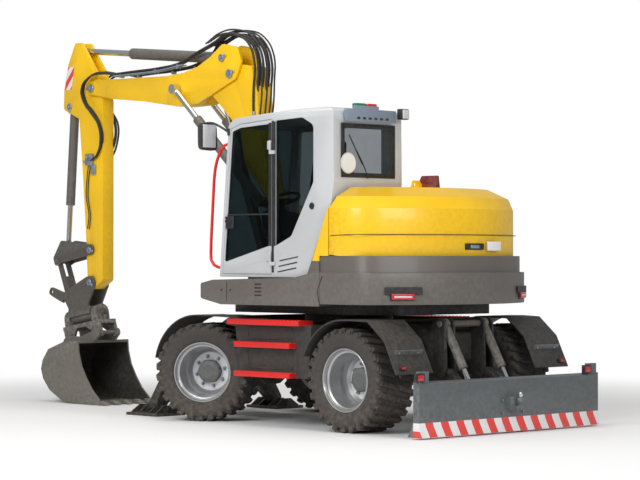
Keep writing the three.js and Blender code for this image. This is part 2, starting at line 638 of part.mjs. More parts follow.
// ---------------------------------------------------------------- hydraulic cylinders
// A cylinder between its base pin and its rod eye, both [x, y, z]. closed is the shortest length
// between them. cross is the direction of both pins. The barrel is bored for the rod.
function cylinder(base, eye, closed, radius, rodRadius, eyeHalf, cross = [0, 1, 0]) {
  const from = new THREE.Vector3(...base);
  const to = new THREE.Vector3(...eye);
  const length = from.distanceTo(to);
  const along = to.clone().sub(from).normalize();
  const at = (reach) => from.clone().addScaledVector(along, reach).toArray();
  const across = new THREE.Vector3(...cross).multiplyScalar(eyeHalf);
  const disc = (centre, size) => {
    const middle = new THREE.Vector3(...centre);
    return bar(middle.clone().sub(across).toArray(), middle.clone().add(across).toArray(), size);
  };
  const eyeRadius = PIN + 22;
  const headReach = closed - eyeRadius - 25;
  const barrelBody = join(
    disc(base, eyeRadius),
    bar(at(radius * 0.8), at(headReach), radius),
    bar(at(0), at(radius), Math.min(eyeHalf, radius) * 0.9));
  const bore = bar(at(eyeRadius + 30), at(headReach + 10), rodRadius + 1);
  const pinGap = hole(
    from.clone().addScaledVector(new THREE.Vector3(...cross), -500).toArray(),
    from.clone().addScaledVector(new THREE.Vector3(...cross), 500).toArray(), PIN);
  const barrel = cut(barrelBody, bore, pinGap);
  const rod = join(disc(eye, eyeRadius), bar(at(length - closed + eyeRadius + 40), at(length), rodRadius));
  return { barrel, rod };
}

// ---------------------------------------------------------------- stabilisers (left side)
function stabiliserLeg() {
  const x0 = STABILISER_X - 60;
  const x1 = STABILISER_X + 60;
  const [footY, footZ] = LEG_CYLINDER_FOOT;
  const py = STABILISER_PIVOT_Y;
  const pz = STABILISER_PIVOT_Z;
  const web = [[py - 48, pz - 10, 40], [py - 10, pz + 52, 40], [py + 70, pz + 20], [footY - 70, footZ + 20],
    [footY - 20, footZ + 62, 40], [footY + 60, footZ + 30, 40], [PAD_CENTRE_Y + 40, 130],
        [PAD_CENTRE_Y + 40, 62],
    [PAD_CENTRE_Y - 60, 62], [footY - 60, footZ - 150], [py + 20, pz - 60, 30]];
  const leg = endPrism(web, x0, x1);
  // The leg is a fork around its cylinder's rod eye.
  const fork = endPrism([[footY - 75, footZ - 70], [footY + 75, footZ - 70], [footY + 75, footZ + 200],
    [footY - 200, footZ + 200], [footY - 90, footZ + 20]], STABILISER_X - EYE_HALF - RUN,
        STABILISER_X + EYE_HALF + RUN);
  const pivotHole = hole([x0 - 50, py, pz], [x1 + 50, py, pz], PIN);
  const pad = planPrism([
    [STABILISER_X - PAD_LENGTH / 2, PAD_CENTRE_Y - PAD_WIDTH / 2, 40],
    [STABILISER_X + PAD_LENGTH / 2, PAD_CENTRE_Y - PAD_WIDTH / 2, 40],
    [STABILISER_X + PAD_LENGTH / 2, PAD_CENTRE_Y + PAD_WIDTH / 2, 40],
    [STABILISER_X - PAD_LENGTH / 2, PAD_CENTRE_Y + PAD_WIDTH / 2, 40],
  ], 2, 26);
  const ribs = [-190, -75, 75, 190].map((offset) => endPrism([
    [PAD_CENTRE_Y - PAD_WIDTH / 2 + 20, 20], [PAD_CENTRE_Y + PAD_WIDTH / 2 - 20, 20],
    [PAD_CENTRE_Y + 50, 105], [PAD_CENTRE_Y - 60, 105],
  ], STABILISER_X + offset - 8, STABILISER_X + offset + 8));
  const crossRib = block(STABILISER_X - 200, STABILISER_X + 200, PAD_CENTRE_Y - 12, PAD_CENTRE_Y + 12, 20,
      100);
  return join(cut(leg, fork, pivotHole), pad, ...ribs, crossRib);
}

// ---------------------------------------------------------------- upper structure
// A plan with straight sides and a tail that is round about the slew axis, its corners softened.
function tailPlan(frontX, halfWidth, radius, corner = 240, steps = 6) {
  const half = Math.asin(halfWidth / radius);
  const tail = Array.from({ length: steps + 1 }, (_, i) => {
    const angle = Math.PI - half + (2 * half * i) / steps;
    return [radius * Math.cos(angle), radius * Math.sin(angle), i % steps === 0 ? corner : 0];
  });
  return [[frontX, halfWidth], ...tail, [frontX, -halfWidth]];
}

function upperFrame() {
  const deck = planPrism([
    [900, -520, 60], [1010, -180], [1010, 180], [900, 700, 60], [-900, 760, 80], [-1300, 620, 80],
    [-1300, -620, 80], [-900, -760, 80], [600, -760, 80],
  ], SLEW_RING_TOP + GAP, DECK_TOP);
  // Two upright plates hold the boom's foot and the lift cylinder.
  const plate = [
    [250, DECK_TOP - 20], [LIFT_BASE[0] + 40, DECK_TOP - 20], [LIFT_BASE[0] + 78, LIFT_BASE[1] - 30, 60],
    [LIFT_BASE[0] + 60, LIFT_BASE[1] + 80, 60], [FOOT_PIN[0] + 105, FOOT_PIN[1] - 60],
    [FOOT_PIN[0] + 80, FOOT_PIN[1] + 85, 70], [FOOT_PIN[0] - 80, FOOT_PIN[1] + 85, 70],
    [FOOT_PIN[0] - 120, FOOT_PIN[1] - 80, 40], [250, DECK_TOP + 260, 60],
  ];
  const inner = LOWER_HALF + RUN;
  const outer = inner + CHEEK;
  const plates = platePair(plate, inner, outer);
  const foot = pin(FOOT_PIN, -outer - 12, outer + 12, 38);
  const liftPin = pin(LIFT_BASE, -outer, outer);
  // Two cross beams carry the cab.
  const cabBeams = [-420, 520].map((x) =>
    block(x, x + 100, CAB_RIGHT_Y + 40, 765, DECK_TOP - 20, CAB_SILL_Z - 7 - GAP));
  return join(deck, plates, foot, liftPin, ...cabBeams);
}

// The tail weight: a heavy casting under the engine hood.
function counterweight() {
  const lower = planPrism(tailPlan(COUNTERWEIGHT_FRONT_X, BODY_HALF_WIDTH, TAIL_RADIUS), DECK_TOP + GAP,
      1452);
  const upper = planPrism(tailPlan(COUNTERWEIGHT_FRONT_X, BODY_HALF_WIDTH - 12, TAIL_RADIUS - 45), 1440,
      HOOD_BOTTOM - GAP);
  const engineBay = planPrism(tailPlan(-400, BODY_HALF_WIDTH - 220, TAIL_RADIUS - 330), DECK_TOP + GAP,
      1900);
  return cut(join(lower, upper), engineBay);
}

// The left side cover under the cab, with the fixed yellow panel behind the cab on top of it.
function leftSkirt() {
  const outer = BODY_HALF_WIDTH;
  const front = [[COUNTERWEIGHT_FRONT_X + GAP, SKIRT_BOTTOM], [640, SKIRT_BOTTOM, 40], [935, 1197, 30],
    [935, 1343, 20], [760, SKIRT_TOP - 28], [-400, SKIRT_TOP], [COUNTERWEIGHT_FRONT_X + GAP, 1470]];
  const cover = sidePrism(front, outer - WALL, outer);
  const floor = block(COUNTERWEIGHT_FRONT_X + GAP, 640, 775, outer - 5, SKIRT_BOTTOM, SKIRT_BOTTOM + 12);
  const ribs = [-640, -100, 560].map((x) => block(x, x + 16, 775, outer - 5, SKIRT_BOTTOM, SKIRT_TOP - 40));
  const frontPlate = block(905, 935, 720, outer - 5, 1200, 1340);
  const panel = sidePrism([[-560, 1400], [-721, 1400], [-721, 1606], [HOOD_FRONT_X - 2, 1606],
    [HOOD_FRONT_X - 2, 2050]], outer - WALL, outer);
  return join(cover, floor, frontPlate, ...ribs, panel);
}

// The right side: a covered housing for tank and valves, with its skirt.
function rightHousing() {
  const outer = BODY_HALF_WIDTH;
  const inner = 190;
  const side = [[COUNTERWEIGHT_FRONT_X + GAP, SKIRT_BOTTOM], [640, SKIRT_BOTTOM, 40], [935, 1197, 30],
      [935, 1343, 20],
    [780, 1500, 40], [640, 1930, 90], [430, 2030, 60], [HOOD_FRONT_X + 4, 2045], [HOOD_FRONT_X + 4,
        HOOD_BOTTOM],
    [COUNTERWEIGHT_FRONT_X + GAP, HOOD_BOTTOM]];
  const shell = sidePrism(side, -outer, -inner);
  const inside = sidePrism([[HOOD_FRONT_X - 20, DECK_TOP + GAP], [600, DECK_TOP + GAP], [600, 1480],
    [560, 1880], [HOOD_FRONT_X - 20, 1995]], -outer + WALL, -inner - WALL);
  const deckGap = block(-2000, 1200, -780, 0, 1000, DECK_TOP + GAP);
  const chamfer = endPrism([[-outer - 1, 1900], [-outer + 140, 2100], [-outer - 1, 2100]], -2000, 2000);
  return cut(shell, inside, deckGap, chamfer);
}

// The engine hood opens as one lid: it is hinged at its top front edge.
function engineHood() {
  const plan = (radius, half) => tailPlan(HOOD_FRONT_X - 10, half, radius, 320);
  const outer = join(
    planPrism(plan(HOOD_TAIL_RADIUS, BODY_HALF_WIDTH - 6), HOOD_BOTTOM, HOOD_SHOULDER),
    hoodTop(HOOD_TAIL_RADIUS, BODY_HALF_WIDTH - 6, HOOD_SHOULDER - 1));
  const inner = join(
    planPrism(plan(HOOD_TAIL_RADIUS - WALL, BODY_HALF_WIDTH - 6 - WALL), HOOD_BOTTOM - 10, HOOD_SHOULDER),
    hoodTop(HOOD_TAIL_RADIUS - WALL, BODY_HALF_WIDTH - 6 - WALL, HOOD_SHOULDER - 1 - WALL / 2));
  const eye = cut(endPrism([[-20, HOOD_TOP - 10], [180, HOOD_TOP - 10], [150, HOOD_TOP + 75, 12],
    [60, HOOD_TOP + 75, 12]], -1010, -998), bar([-1100, 120, HOOD_TOP + 40], [-900, 120, HOOD_TOP + 40],
        16));
  // The top front edge is cut back to clear the cab.
  const cabRelief = sidePrism([[HOOD_FRONT_X + 200, 2050], [HOOD_FRONT_X - 8, 2050], [-902, 2140], [-902,
      2400],
    [HOOD_FRONT_X + 200, 2400]], -2000, 2000);
  // In front of its hinge the hood's lower edge rises, so that it clears the tail weight as it opens.
  const edgeRelief = sidePrism([[HOOD_HINGE_X, HOOD_BOTTOM - 20], [HOOD_FRONT_X + 20, HOOD_BOTTOM - 20],
    [HOOD_FRONT_X + 20, HOOD_BOTTOM + 16], [HOOD_HINGE_X, HOOD_BOTTOM]], -2000, 2000);
  return cut(join(cut(outer, inner), eye), cabRelief, edgeRelief);
}

// The sloped shoulder and flat top of the hood, as rings that shrink towards the top.
function hoodTop(radius, halfWidth, bottom) {
  const rise = HOOD_TOP - HOOD_SHOULDER;
  const layers = [[0, 0], [0.55, 0.2], [1, 1]];
  const slices = layers.slice(1).map(([height, inset], i) => {
    const [lower, lowerInset] = layers[i];
    return frustum(
      tailPlan(HOOD_FRONT_X - 10, halfWidth - 230 * lowerInset, radius - 230 * lowerInset, 320),
      tailPlan(HOOD_FRONT_X - 10, halfWidth - 230 * inset, radius - 230 * inset, 320),
      bottom + rise * lower, bottom + rise * height + (i < 1 ? 0.5 : 0));
  });
  return join(...slices);
}

// A solid between two plans with the same number of points.
function frustum(lower, upper, z0, z1) {
  const a = outline(lower).getPoints(CURVE_STEPS);
  const b = outline(upper).getPoints(CURVE_STEPS);
  const points = [...a.map((p) => [p.x, p.y, z0]), ...b.map((p) => [p.x, p.y, z1])];
  return toSolid(new ConvexGeometry(points.map((p) => new THREE.Vector3(...p))));
}

function engineBlock() {
  return block(-1230, -860, -360, 360, DECK_TOP + GAP, 1760);
}

// ---------------------------------------------------------------- cab
// The front pillar leans back from the sill to the roof.
const CAB_SIDE = [
  [708, CAB_SILL_Z - 7, 20], [578, 2872, 40], [480, 2925, 60], [-300, 2978, 200], [-700, 2985], [-862,
      2955, 60],
  [-870, 2284, 80], [-841, 2102, 60], [-648, 1725, 60], [-504, CAB_SILL_Z - 7, 20],
];
const DOOR_GAP = 5;
const DOOR_AXIS_X = DOOR_HINGE_X + 6;
const DOOR_AXIS_Y = CAB_LEFT_Y + 15;
const DOOR_SIDE = [
  [DOOR_HINGE_X, CAB_SILL_Z + 20], [672, CAB_SILL_Z + 20, 15], [546, 2830, 25], [420, 2868, 60],
  [DOOR_HINGE_X, 2896],
];
const DOOR_GLASS = [
  [DOOR_HINGE_X + 40, 1700], [640, 1545, 25], [527, 2800, 30], [410, 2832, 50], [DOOR_HINGE_X + 40, 2852],
];
const QUARTER_GLASS = [
  [-85, 1700], [-85, 2880, 20], [-450, 2895, 60], [-600, 2820, 60], [-600, 2290, 60], [-300, 1790, 60],
];
const RIGHT_GLASS = [[-640, 2050, 30], [540, 1960, 30], [500, 2820, 40], [-640, 2850, 40]];
const REAR_GLASS = [[250, 2330, 60], [960, 2330, 60], [960, 2830, 60], [250, 2830, 60]];
const WINDSCREEN_Z = [1500, 2835];
const WINDSCREEN_Y = [215, 993];
const frontX = (z) => 708 - ((z - CAB_SILL_Z) * 130) / 1465;

function windscreen(outerInset, innerInset, margin) {
  const [z0, z1] = [WINDSCREEN_Z[0] + margin, WINDSCREEN_Z[1] - margin];
  return sidePrism([
    [frontX(z0) - outerInset, z0], [frontX(z1) - outerInset, z1],
    [frontX(z1) - innerInset, z1], [frontX(z0) - innerInset, z0],
  ], WINDSCREEN_Y[0] + margin, WINDSCREEN_Y[1] - margin);
}

function cabBody(points, y0, y1, top, round) {
  const side = sidePrism(points, y0, y1);
  const ends = endPrism([[y0, 1300], [y1, 1300], [y1, top, round], [y0, top, round]], -2000, 2000);
  return side.intersect(ends);
}

function cabFrame() {
  const outer = cabBody(CAB_SIDE, CAB_RIGHT_Y, CAB_LEFT_Y, 2986, 90);
  const inner = cabBody(inset(CAB_SIDE, CAB_WALL), CAB_RIGHT_Y + CAB_WALL, CAB_LEFT_Y - CAB_WALL,
      2986 - CAB_WALL, 50);
  const openings = [
    sidePrism(DOOR_SIDE, CAB_LEFT_Y - CAB_WALL - 20, CAB_LEFT_Y + 20),
    sidePrism(QUARTER_GLASS, CAB_LEFT_Y - CAB_WALL - 20, CAB_LEFT_Y + 20),
    sidePrism(RIGHT_GLASS, CAB_RIGHT_Y - 20, CAB_RIGHT_Y + CAB_WALL + 20),
    endPrism(REAR_GLASS, -1000, -780),
    windscreen(-100, 90, 0),
  ];
  const rail = tube([[600, 1020, 2690], [660, 1030, 2672], [724, 1035, 2606], [788, 1035, 2470], [830,
      1035, 2100],
    [856, 1035, 1664], [850, 1035, 1560], [790, 1030, 1505], [690, 1020, 1490]], 15, 22, 6);
  // The lamp bracket stands off the rear wall under the roof.
  const lampBar = join(
    block(-935, -925, 302, 946, 2846, 2962), block(-930, -862, 330, 344, 2856, 2950),
    block(-930, -862, 904, 918, 2856, 2950), block(-935, -900, 302, 946, 2952, 2962),
    block(-934, -900, 528, 843, 2955, 2994));
  const hinges = [1600, 2650].map((z) => join(
    bar([DOOR_AXIS_X, DOOR_AXIS_Y, z - 85], [DOOR_AXIS_X, DOOR_AXIS_Y, z - 45 - GAP], 12),
    block(DOOR_AXIS_X - 60, DOOR_AXIS_X - 9, CAB_LEFT_Y - 8, DOOR_AXIS_Y + 6, z - 85, z - 50)));
  return join(cut(outer, inner, ...openings), rail, lampBar, ...hinges);
}

function cabDoor() {
  const shape = inset(DOOR_SIDE, DOOR_GAP);
  const panel = sidePrism(shape, CAB_LEFT_Y - CAB_WALL, CAB_LEFT_Y - 1);
  const window = sidePrism(DOOR_GLASS, CAB_LEFT_Y - 200, CAB_LEFT_Y + 50);
  const hinges = [1600, 2650].map((z) => join(
    bar([DOOR_AXIS_X, DOOR_AXIS_Y, z - 45], [DOOR_AXIS_X, DOOR_AXIS_Y, z + 45], 12),
    block(DOOR_AXIS_X, DOOR_AXIS_X + 60, CAB_LEFT_Y - 8, DOOR_AXIS_Y + 6, z - 40, z + 40)));
  const handle = block(590, 614, CAB_LEFT_Y - 10, CAB_LEFT_Y + 18, 1860, 1960);
  return cut(join(panel, ...hinges, handle), window);
}

const pane = (points, y0, y1) => sidePrism(inset(points, GAP), y0, y1);

// Floor, seat with armrest consoles, and steering column in one solid on the cab's floor.
function cabInterior() {
  const floorZ = CAB_SILL_Z - 7 + CAB_WALL + GAP;
  const midY = (CAB_LEFT_Y + CAB_RIGHT_Y) / 2;
  const floor = block(-400, 600, CAB_RIGHT_Y + CAB_WALL + 10, CAB_LEFT_Y - CAB_WALL - 10, floorZ,
      floorZ + 25);
  const base = block(-350, 60, midY - 200, midY + 200, floorZ, floorZ + 380);
  const cushion = sidePrism([[-380, 1790, 30], [120, 1800, 40], [130, 1890, 40], [-380, 1880, 30]],
      midY - 240, midY + 240);
  const back = sidePrism([[-340, 1850], [-250, 1870], [-360, 2480, 30], [-450, 2480, 30], [-440, 1850, 30]],
    midY - 225, midY + 225);
  const headrest = sidePrism([[-380, 2460], [-365, 2690, 40], [-450, 2700, 40], [-440, 2460]], midY - 130,
      midY + 130);
  const consoles = [-1, 1].map((s) => {
    const y = midY + s * 300;
    return join(
      sidePrism([[-330, 1760], [180, 1760, 20], [200, 2020, 40], [60, 2050, 30], [-330, 1980, 30]],
          y - 65, y + 65),
      bar([150, y, 2020], [170, y, 2160], 18, 10));
  });
  const column = join(
    block(380, 500, midY - 60, midY + 60, floorZ, floorZ + 80),
    bar([440, midY, floorZ + 40], [300, midY, 2150], 32, 12));
  const wheel = new THREE.TorusGeometry(170, 14, 6, 20);
  wheel.rotateY(Math.PI / 2 - 1.2);
  wheel.translate(298, midY, 2150);
  const spoke = bar([298, midY - 165, 2150], [298, midY + 165, 2150], 12, 8);
  return join(floor, base, cushion, back, headrest, ...consoles, column, toSolid(wheel), spoke);
}

function leftMirror() {
  const y = CAB_LEFT_Y + GAP;
  const foot = block(560, 582, y, y + 16, 2765, 2830);
  const arm = tube([[571, y + 10, 2797], [620, y + 50, 2840], [720, y + 70, 2885], [835, 1100, 2895]], 11,
      12);
  const head = endPrism([[985, 2625, 50], [1195, 2635, 50], [1200, 2895, 60], [1000, 2905, 60]], 815, 865);
  return join(foot, arm, head);
}

// ---------------------------------------------------------------- boom, stick and bucket
const EYE_SLOT = EYE_HALF + RUN;           // half the gap of a fork around an eye
const LIFT_SLOT = 62;                      // half the gap for the lift cylinder's barrel
const BUCKET_SLOT = 58;                    // half the gap for the bucket cylinder's barrel
const disc = (place, half, radius, sides = 16) => pin(place, -half, half, radius, sides);

function lowerBoom() {
  const side = [
    [785, 2085], [1051, 2266], [1068, 2505], [1136, 2708], [1183, 2857], [1220, 3256], [1296, 3533, 50],
    [1585, 3578], [1695, 3490], [1900, 3364], [1900, 3268], [1458, 2874], [1398, 2545], [1200, 2340],
        [935, 1972],
  ];
  const whole = join(
    sidePrism(side, -LOWER_HALF, LOWER_HALF), disc(FOOT_PIN, LOWER_HALF, 95),
    disc(BOOM_PIN, LOWER_HALF, 110), disc(LIFT_EYE, LOWER_HALF, 62), disc(ADJUST_BASE, LOWER_HALF, 68));
  const slot = sidePrism([[1640, 2700], [1640, 3200], [1770, 3420], [2050, 3420], [2050, 2700]],
      -LIFT_SLOT, LIFT_SLOT);
  return cut(whole, slot, pinHole(FOOT_PIN, 300, 38), pinHole(BOOM_PIN, 300),
    pinHole(ADJUST_BASE, 300, SHAFT));
}

function upperBoom() {
  const inner = LOWER_HALF + RUN;
  const heel = [
    [1417, 3582, 30], [1478, 3738, 60], [1709, 3785, 90], [1896, 3663], [2101, 3572], [2324, 3522], [2583,
        3506],
    [2583, 3200], [2453, 3178], [2100, 3187], [1508, 3414, 50],
  ];
  const beam = [
    [1985, 3565], [2101, 3562], [2324, 3522], [2583, 3506], [3590, 3526], [3650, 3440], [3665, 3334],
        [3558, 3312],
    [2997, 3257], [2453, 3178], [2250, 3184], [1985, 3420],
  ];
  const tip = [[3500, 3526], [3820, 3533], [3955, 3520, 50], [3990, 3445, 60], [3955, 3375, 50], [3785,
      3356],
    [3558, 3312], [3500, 3306]];
  const stickInner = STICK_HALF + RUN;
  const whole = join(
    platePair(heel, inner, inner + CHEEK), sidePrism(beam, -inner - 1, inner + 1),
    platePair(tip, stickInner, stickInner + TIP_CHEEK),
    pin(BOOM_PIN, -inner - CHEEK - 10, inner + CHEEK + 10),
    pin(ARM_BASE, -inner - CHEEK, inner + CHEEK),
    pin(TIP_PIN, -stickInner - TIP_CHEEK - 10, stickInner + TIP_CHEEK + 10),
    disc(ADJUST_EYE, ADJUST_Y - EYE_HALF - RUN, 62));
  return whole;
}

function stick() {
  const side = [
    [4112, 3960, 40], [4238, 3968, 40], [4364, 3732], [4436, 3457], [4445, 3235, 50], [4345, 3197], [4165,
        3122],
    [4110, 2612], [4038, 1784], [4012, 1317], [3935, 1242, 40], [3749, 1340, 40], [3749, 3300], [3846,
        3623],
    [4094, 3925, 20],
  ];
  const whole = join(sidePrism(side, -STICK_HALF, STICK_HALF), disc(COUPLER_PIN, STICK_HALF, 76),
    disc(ARM_EYE, STICK_HALF, 74));
  const armSlot = sidePrism([[3700, 3990], [4420, 3990], [4420, 3760], [4215, 3700], [3990, 3640], [3700,
      3560]],
    -EYE_SLOT, EYE_SLOT);
  const bucketSlot = sidePrism([[4255, 3345], [4520, 3345], [4520, 2900], [4255, 2900]], -BUCKET_SLOT,
      BUCKET_SLOT);
  return join(
    cut(whole, armSlot, bucketSlot, pinHole(TIP_PIN, 200), pinHole(COUPLER_PIN, 200), pinHole(ROCKER_PIN,
        200)),
    pin(BUCKET_BASE, -STICK_HALF, STICK_HALF));
}

const ROCKER_INNER = STICK_HALF + 5;
const ROCKER_PLATE = 20;

function rocker() {
  const side = [[ROCKER_PIN[0] - 58, ROCKER_PIN[1] - 40, 50], [ROCKER_PIN[0] - 50, ROCKER_PIN[1] + 58, 50],
    [BUCKET_EYE[0] + 10, BUCKET_EYE[1] + 62, 50], [LINK_TOP[0] + 62, LINK_TOP[1] + 30, 40],
    [LINK_TOP[0] + 20, LINK_TOP[1] - 62, 40], [LINK_TOP[0] - 80, LINK_TOP[1] - 20, 40]];
  const plates = cut(platePair(side, ROCKER_INNER, ROCKER_INNER + ROCKER_PLATE), pinHole(LINK_TOP, 200));
  return join(plates, pin(ROCKER_PIN, -ROCKER_INNER - ROCKER_PLATE - 8, ROCKER_INNER + ROCKER_PLATE + 8));
}

const LINK_HALF = 60;

// The link is forked at its top, round the rod's eye.
function link() {
  const half = LINK_HALF;
  const [topX, topZ] = LINK_TOP;
  const [footX, footZ] = LINK_FOOT;
  const body = sidePrism([[topX - 40, topZ], [topX + 40, topZ - 10], [footX + 42, footZ - 8], [footX - 38,
      footZ + 10]],
    -half, half);
  const slot = sidePrism([[topX - 120, topZ - 170], [topX + 100, topZ - 170], [topX + 100, topZ + 100],
    [topX - 120, topZ + 100]], -EYE_SLOT, EYE_SLOT);
  return join(cut(join(body, disc(LINK_TOP, half, 50), disc(LINK_FOOT, half, 50)), slot),
    pin(LINK_TOP, -ROCKER_INNER - ROCKER_PLATE - 8, ROCKER_INNER + ROCKER_PLATE + 8));
}

// A point beside the tilt axis: t along it from rear to front, lift above it, as [x, z].
function besideTilt(t, lift) {
  const [x, z] = midpoint(TILT_REAR, TILT_FRONT, t);
  const length = distance(TILT_REAR, TILT_FRONT);
  const [ux, uz] = [(TILT_FRONT[0] - TILT_REAR[0]) / length, (TILT_FRONT[1] - TILT_REAR[1]) / length];
  return [x - uz * lift, z + ux * lift];
}

const at3 = ([x, z], y = 0) => [x, y, z];

function coupler() {
  const inner = STICK_HALF + 5;
  const outer = inner + 25;
  const side = [
    [COUPLER_PIN[0] - 80, COUPLER_PIN[1] - 20, 60], [COUPLER_PIN[0] - 40, COUPLER_PIN[1] + 80, 60],
    [COUPLER_PIN[0] + 70, COUPLER_PIN[1] + 60, 50], [LINK_FOOT[0] + 20, LINK_FOOT[1] + 66, 50],
    [LINK_FOOT[0] + 66, LINK_FOOT[1] + 20, 40], besideTilt(0.85, 110), besideTilt(0.85, 0),
        besideTilt(0.15, 0),
    besideTilt(0.15, 110),
  ];
  const web = [besideTilt(0.14, 0), besideTilt(0.14, 78), besideTilt(0.86, 78), besideTilt(0.86, 0)];
  const tubeAlong = bar(at3(besideTilt(0.14, 0)), at3(besideTilt(0.86, 0)), 80, 16);
  const axleBar = bar(at3(besideTilt(-0.06, 0)), at3(besideTilt(1.06, 0)), TILT_AXLE);
  const lug = cut(sidePrism([
    [LINK_FOOT[0] + 30, LINK_FOOT[1] + 20], [LINK_FOOT[0] + 60, LINK_FOOT[1] + 60, 20], [4640, 1262, 40],
    [4684, 1190, 30], [4600, 1150, 30], [LINK_FOOT[0] + 50, LINK_FOOT[1] - 60],
  ], inner, outer), pin([4625, 1205], 0, 200, 24));
  return join(platePair(side, inner, outer), sidePrism(web, -outer, outer), tubeAlong, axleBar, lug,
    pin(COUPLER_PIN, -outer - 8, outer + 8), pin(LINK_FOOT, LINK_HALF + RUN, outer + 8),
    pin(LINK_FOOT, -outer - 8, -LINK_HALF - RUN));
}

function tiltBracket() {
  const half = 118;
  const grip = 28;
  const ends = [[-0.07, 0.12], [0.88, 1.07]].map(([t0, t1]) => {
    const shell = join(
      bar(at3(besideTilt(t0, 0)), at3(besideTilt(t1, 0)), 88, 16),
      sidePrism([besideTilt(t0, 0), besideTilt(t1, 0), besideTilt(t1, -140), besideTilt(t0, -140)], -88,
          88));
    return cut(shell, hole(at3(besideTilt(t0 - 0.05, 0)), at3(besideTilt(t1 + 0.05, 0)), TILT_AXLE));
  });
  const base = sidePrism([besideTilt(-0.2, -92), besideTilt(1.07, -92), besideTilt(1.07, -136),
    besideTilt(-0.2, -136)], -half, half);
  const [frontPin, rearPin] = BUCKET_PINS;
  const frontGrip = [besideTilt(0.6, -130), besideTilt(1.05, -130), [frontPin[0] + 70, frontPin[1] + 20,
      30],
    [frontPin[0] + 46, frontPin[1] - 50, 30], [frontPin[0] - 60, frontPin[1] - 50, 30]];
  const rearGrip = [besideTilt(-0.2, -130), besideTilt(0.3, -130), [rearPin[0] + 70, rearPin[1] - 10, 30],
    [rearPin[0] + 20, rearPin[1] - 56, 30], [rearPin[0] - 60, rearPin[1] - 30, 30]];
  return cut(join(...ends, base, platePair(frontGrip, half - grip, half), platePair(rearGrip, half - grip,
      half)),
    pinHole(frontPin, 200, 20), pinHole(rearPin, 200, 20));
}

function bucket() {
  const shell = [
    [3834, 687], [4095, 666], [4360, 581], [4463, 454], [4489, 360], [4450, 253], [4334, 133], [4106, 20],
        [3907, 5],
    [3450, 5], [3453, 58], [3587, 165], [3684, 283], [3772, 416], [3822, 566],
  ];
  const hollow = [
    [3700, 664], [4090, 644], [4346, 564], [4443, 446], [4468, 360], [4431, 263], [4320, 149], [4100, 42],
        [3907, 27],
    [3300, 27], [3300, 664],
  ];
  const body = cut(sidePrism(shell, -BUCKET_HALF, BUCKET_HALF), sidePrism(hollow, -BUCKET_HALF + 18,
      BUCKET_HALF - 18));
  const [frontPin, rearPin] = BUCKET_PINS;
  const ear = [[3800, 676], [rearPin[0] - 52, rearPin[1] - 10, 40], [rearPin[0] - 10, rearPin[1] + 52, 40],
    [rearPin[0] + 60, rearPin[1] + 20, 30], [4050, 720], [frontPin[0] - 10, frontPin[1] + 54, 40],
    [frontPin[0] + 58, frontPin[1] + 6, 40], [4380, 560], [4200, 600], [4060, 655]];
  const ears = platePair(ear, 125, 150);
  const teeth = [-2, -1, 0, 1, 2].map((n) => {
    const y = n * 158;
    const tooth = [[3480, 8], [3470, 50], [3420, 46], [3352, 18], [3352, 10], [3420, 6]];
    return sidePrism(tooth, y - 32, y + 32);
  });
  return join(body, ears, ...teeth, pin(frontPin, -150, 150, 20), pin(rearPin, -150, 150, 20));
}

// ---------------------------------------------------------------- assembly
const chassis = pivot('chassis', machine, [0, 0, 0]);
piece('chassis_frame', chassis, chassisFrame(), FRAME_BLACK);
piece('front_axle', chassis, frontAxle(), FRAME_BLACK);
piece('rear_axle', chassis, axle(REAR_AXLE_X, WHEEL_CENTRE_Y + HUB_BACK - GAP), FRAME_BLACK);
piece('front_fenders', chassis, frontFenders(), BLACK_PLASTIC);
piece('rear_fenders', chassis, rearFenders(), BLACK_PLASTIC);
piece('left_steps', chassis, stepBox(), BLACK_PLASTIC);
piece('right_steps', chassis, mirrorY(stepBox()), BLACK_PLASTIC);

// Wheels. The front ones turn with their knuckles, which stand at the steering angle at rest.
for (const [side, sign] of [['left', 1], ['right', -1]]) {
  const steer = pivot(`steer_${side}`, chassis, [FRONT_AXLE_X, sign * KINGPIN_Y, AXLE_Z]);
  const side3d = (solid) => (sign > 0 ? solid : mirrorY(solid));
  piece(`${side}_knuckle`, steer, side3d(knuckle()), FRAME_BLACK);
  for (const [end, x, parent] of [['front', FRONT_AXLE_X, steer], ['rear', REAR_AXLE_X, chassis]]) {
    const wheel = pivot(`${end}_${side}_wheel`, parent, [x, sign * WHEEL_CENTRE_Y, AXLE_Z]);
    const placed = (solid) => side3d(shift(solid, 0, WHEEL_CENTRE_Y, 0));
    piece(`${end}_${side}_rim`, wheel, placed(rim([x, AXLE_Z])), RIM_SILVER);
    piece(`${end}_${side}_tyre`, wheel, placed(tyre([x, AXLE_Z])), RUBBER);
  }
  steer.rotation.z = THREE.MathUtils.degToRad(STEER_REST);
}

// Rear blade with its two cylinders. The barrels share the top shaft.
const bladeGroup = pivot('blade', chassis, at3(BLADE_ARM_PIVOT));
piece('blade_arms', bladeGroup, bladeArms(), BLADE_GREY);
piece('blade', bladeGroup, blade(), BLADE_GREY);
const bladeBarrels = pivot('blade_barrels', chassis, at3(BLADE_CYLINDER_TOP));
const bladeCylinders = [-1, 1].map((sign) => cylinder(
  at3(BLADE_CYLINDER_TOP, sign * BLADE_ARM_Y), at3(BLADE_CYLINDER_FOOT, sign * BLADE_ARM_Y),
  BLADE_CYLINDER_CLOSED, 42, 22, BLADE_EAR_GAP - RUN));
piece('blade_cylinder_barrels', bladeBarrels, join(
  bladeCylinders[0].barrel, bladeCylinders[1].barrel, pin(BLADE_CYLINDER_TOP, -340, 340, SHAFT)),
      FRAME_BLACK);
bladeCylinders.forEach(({ rod }, i) => {
  const name = ['right', 'left'][i];
  const slide = pivot(`blade_rod_${name}`, bladeBarrels, at3(BLADE_CYLINDER_TOP));
  piece(`${name}_blade_cylinder_rod`, slide, rod, CHROME);
});

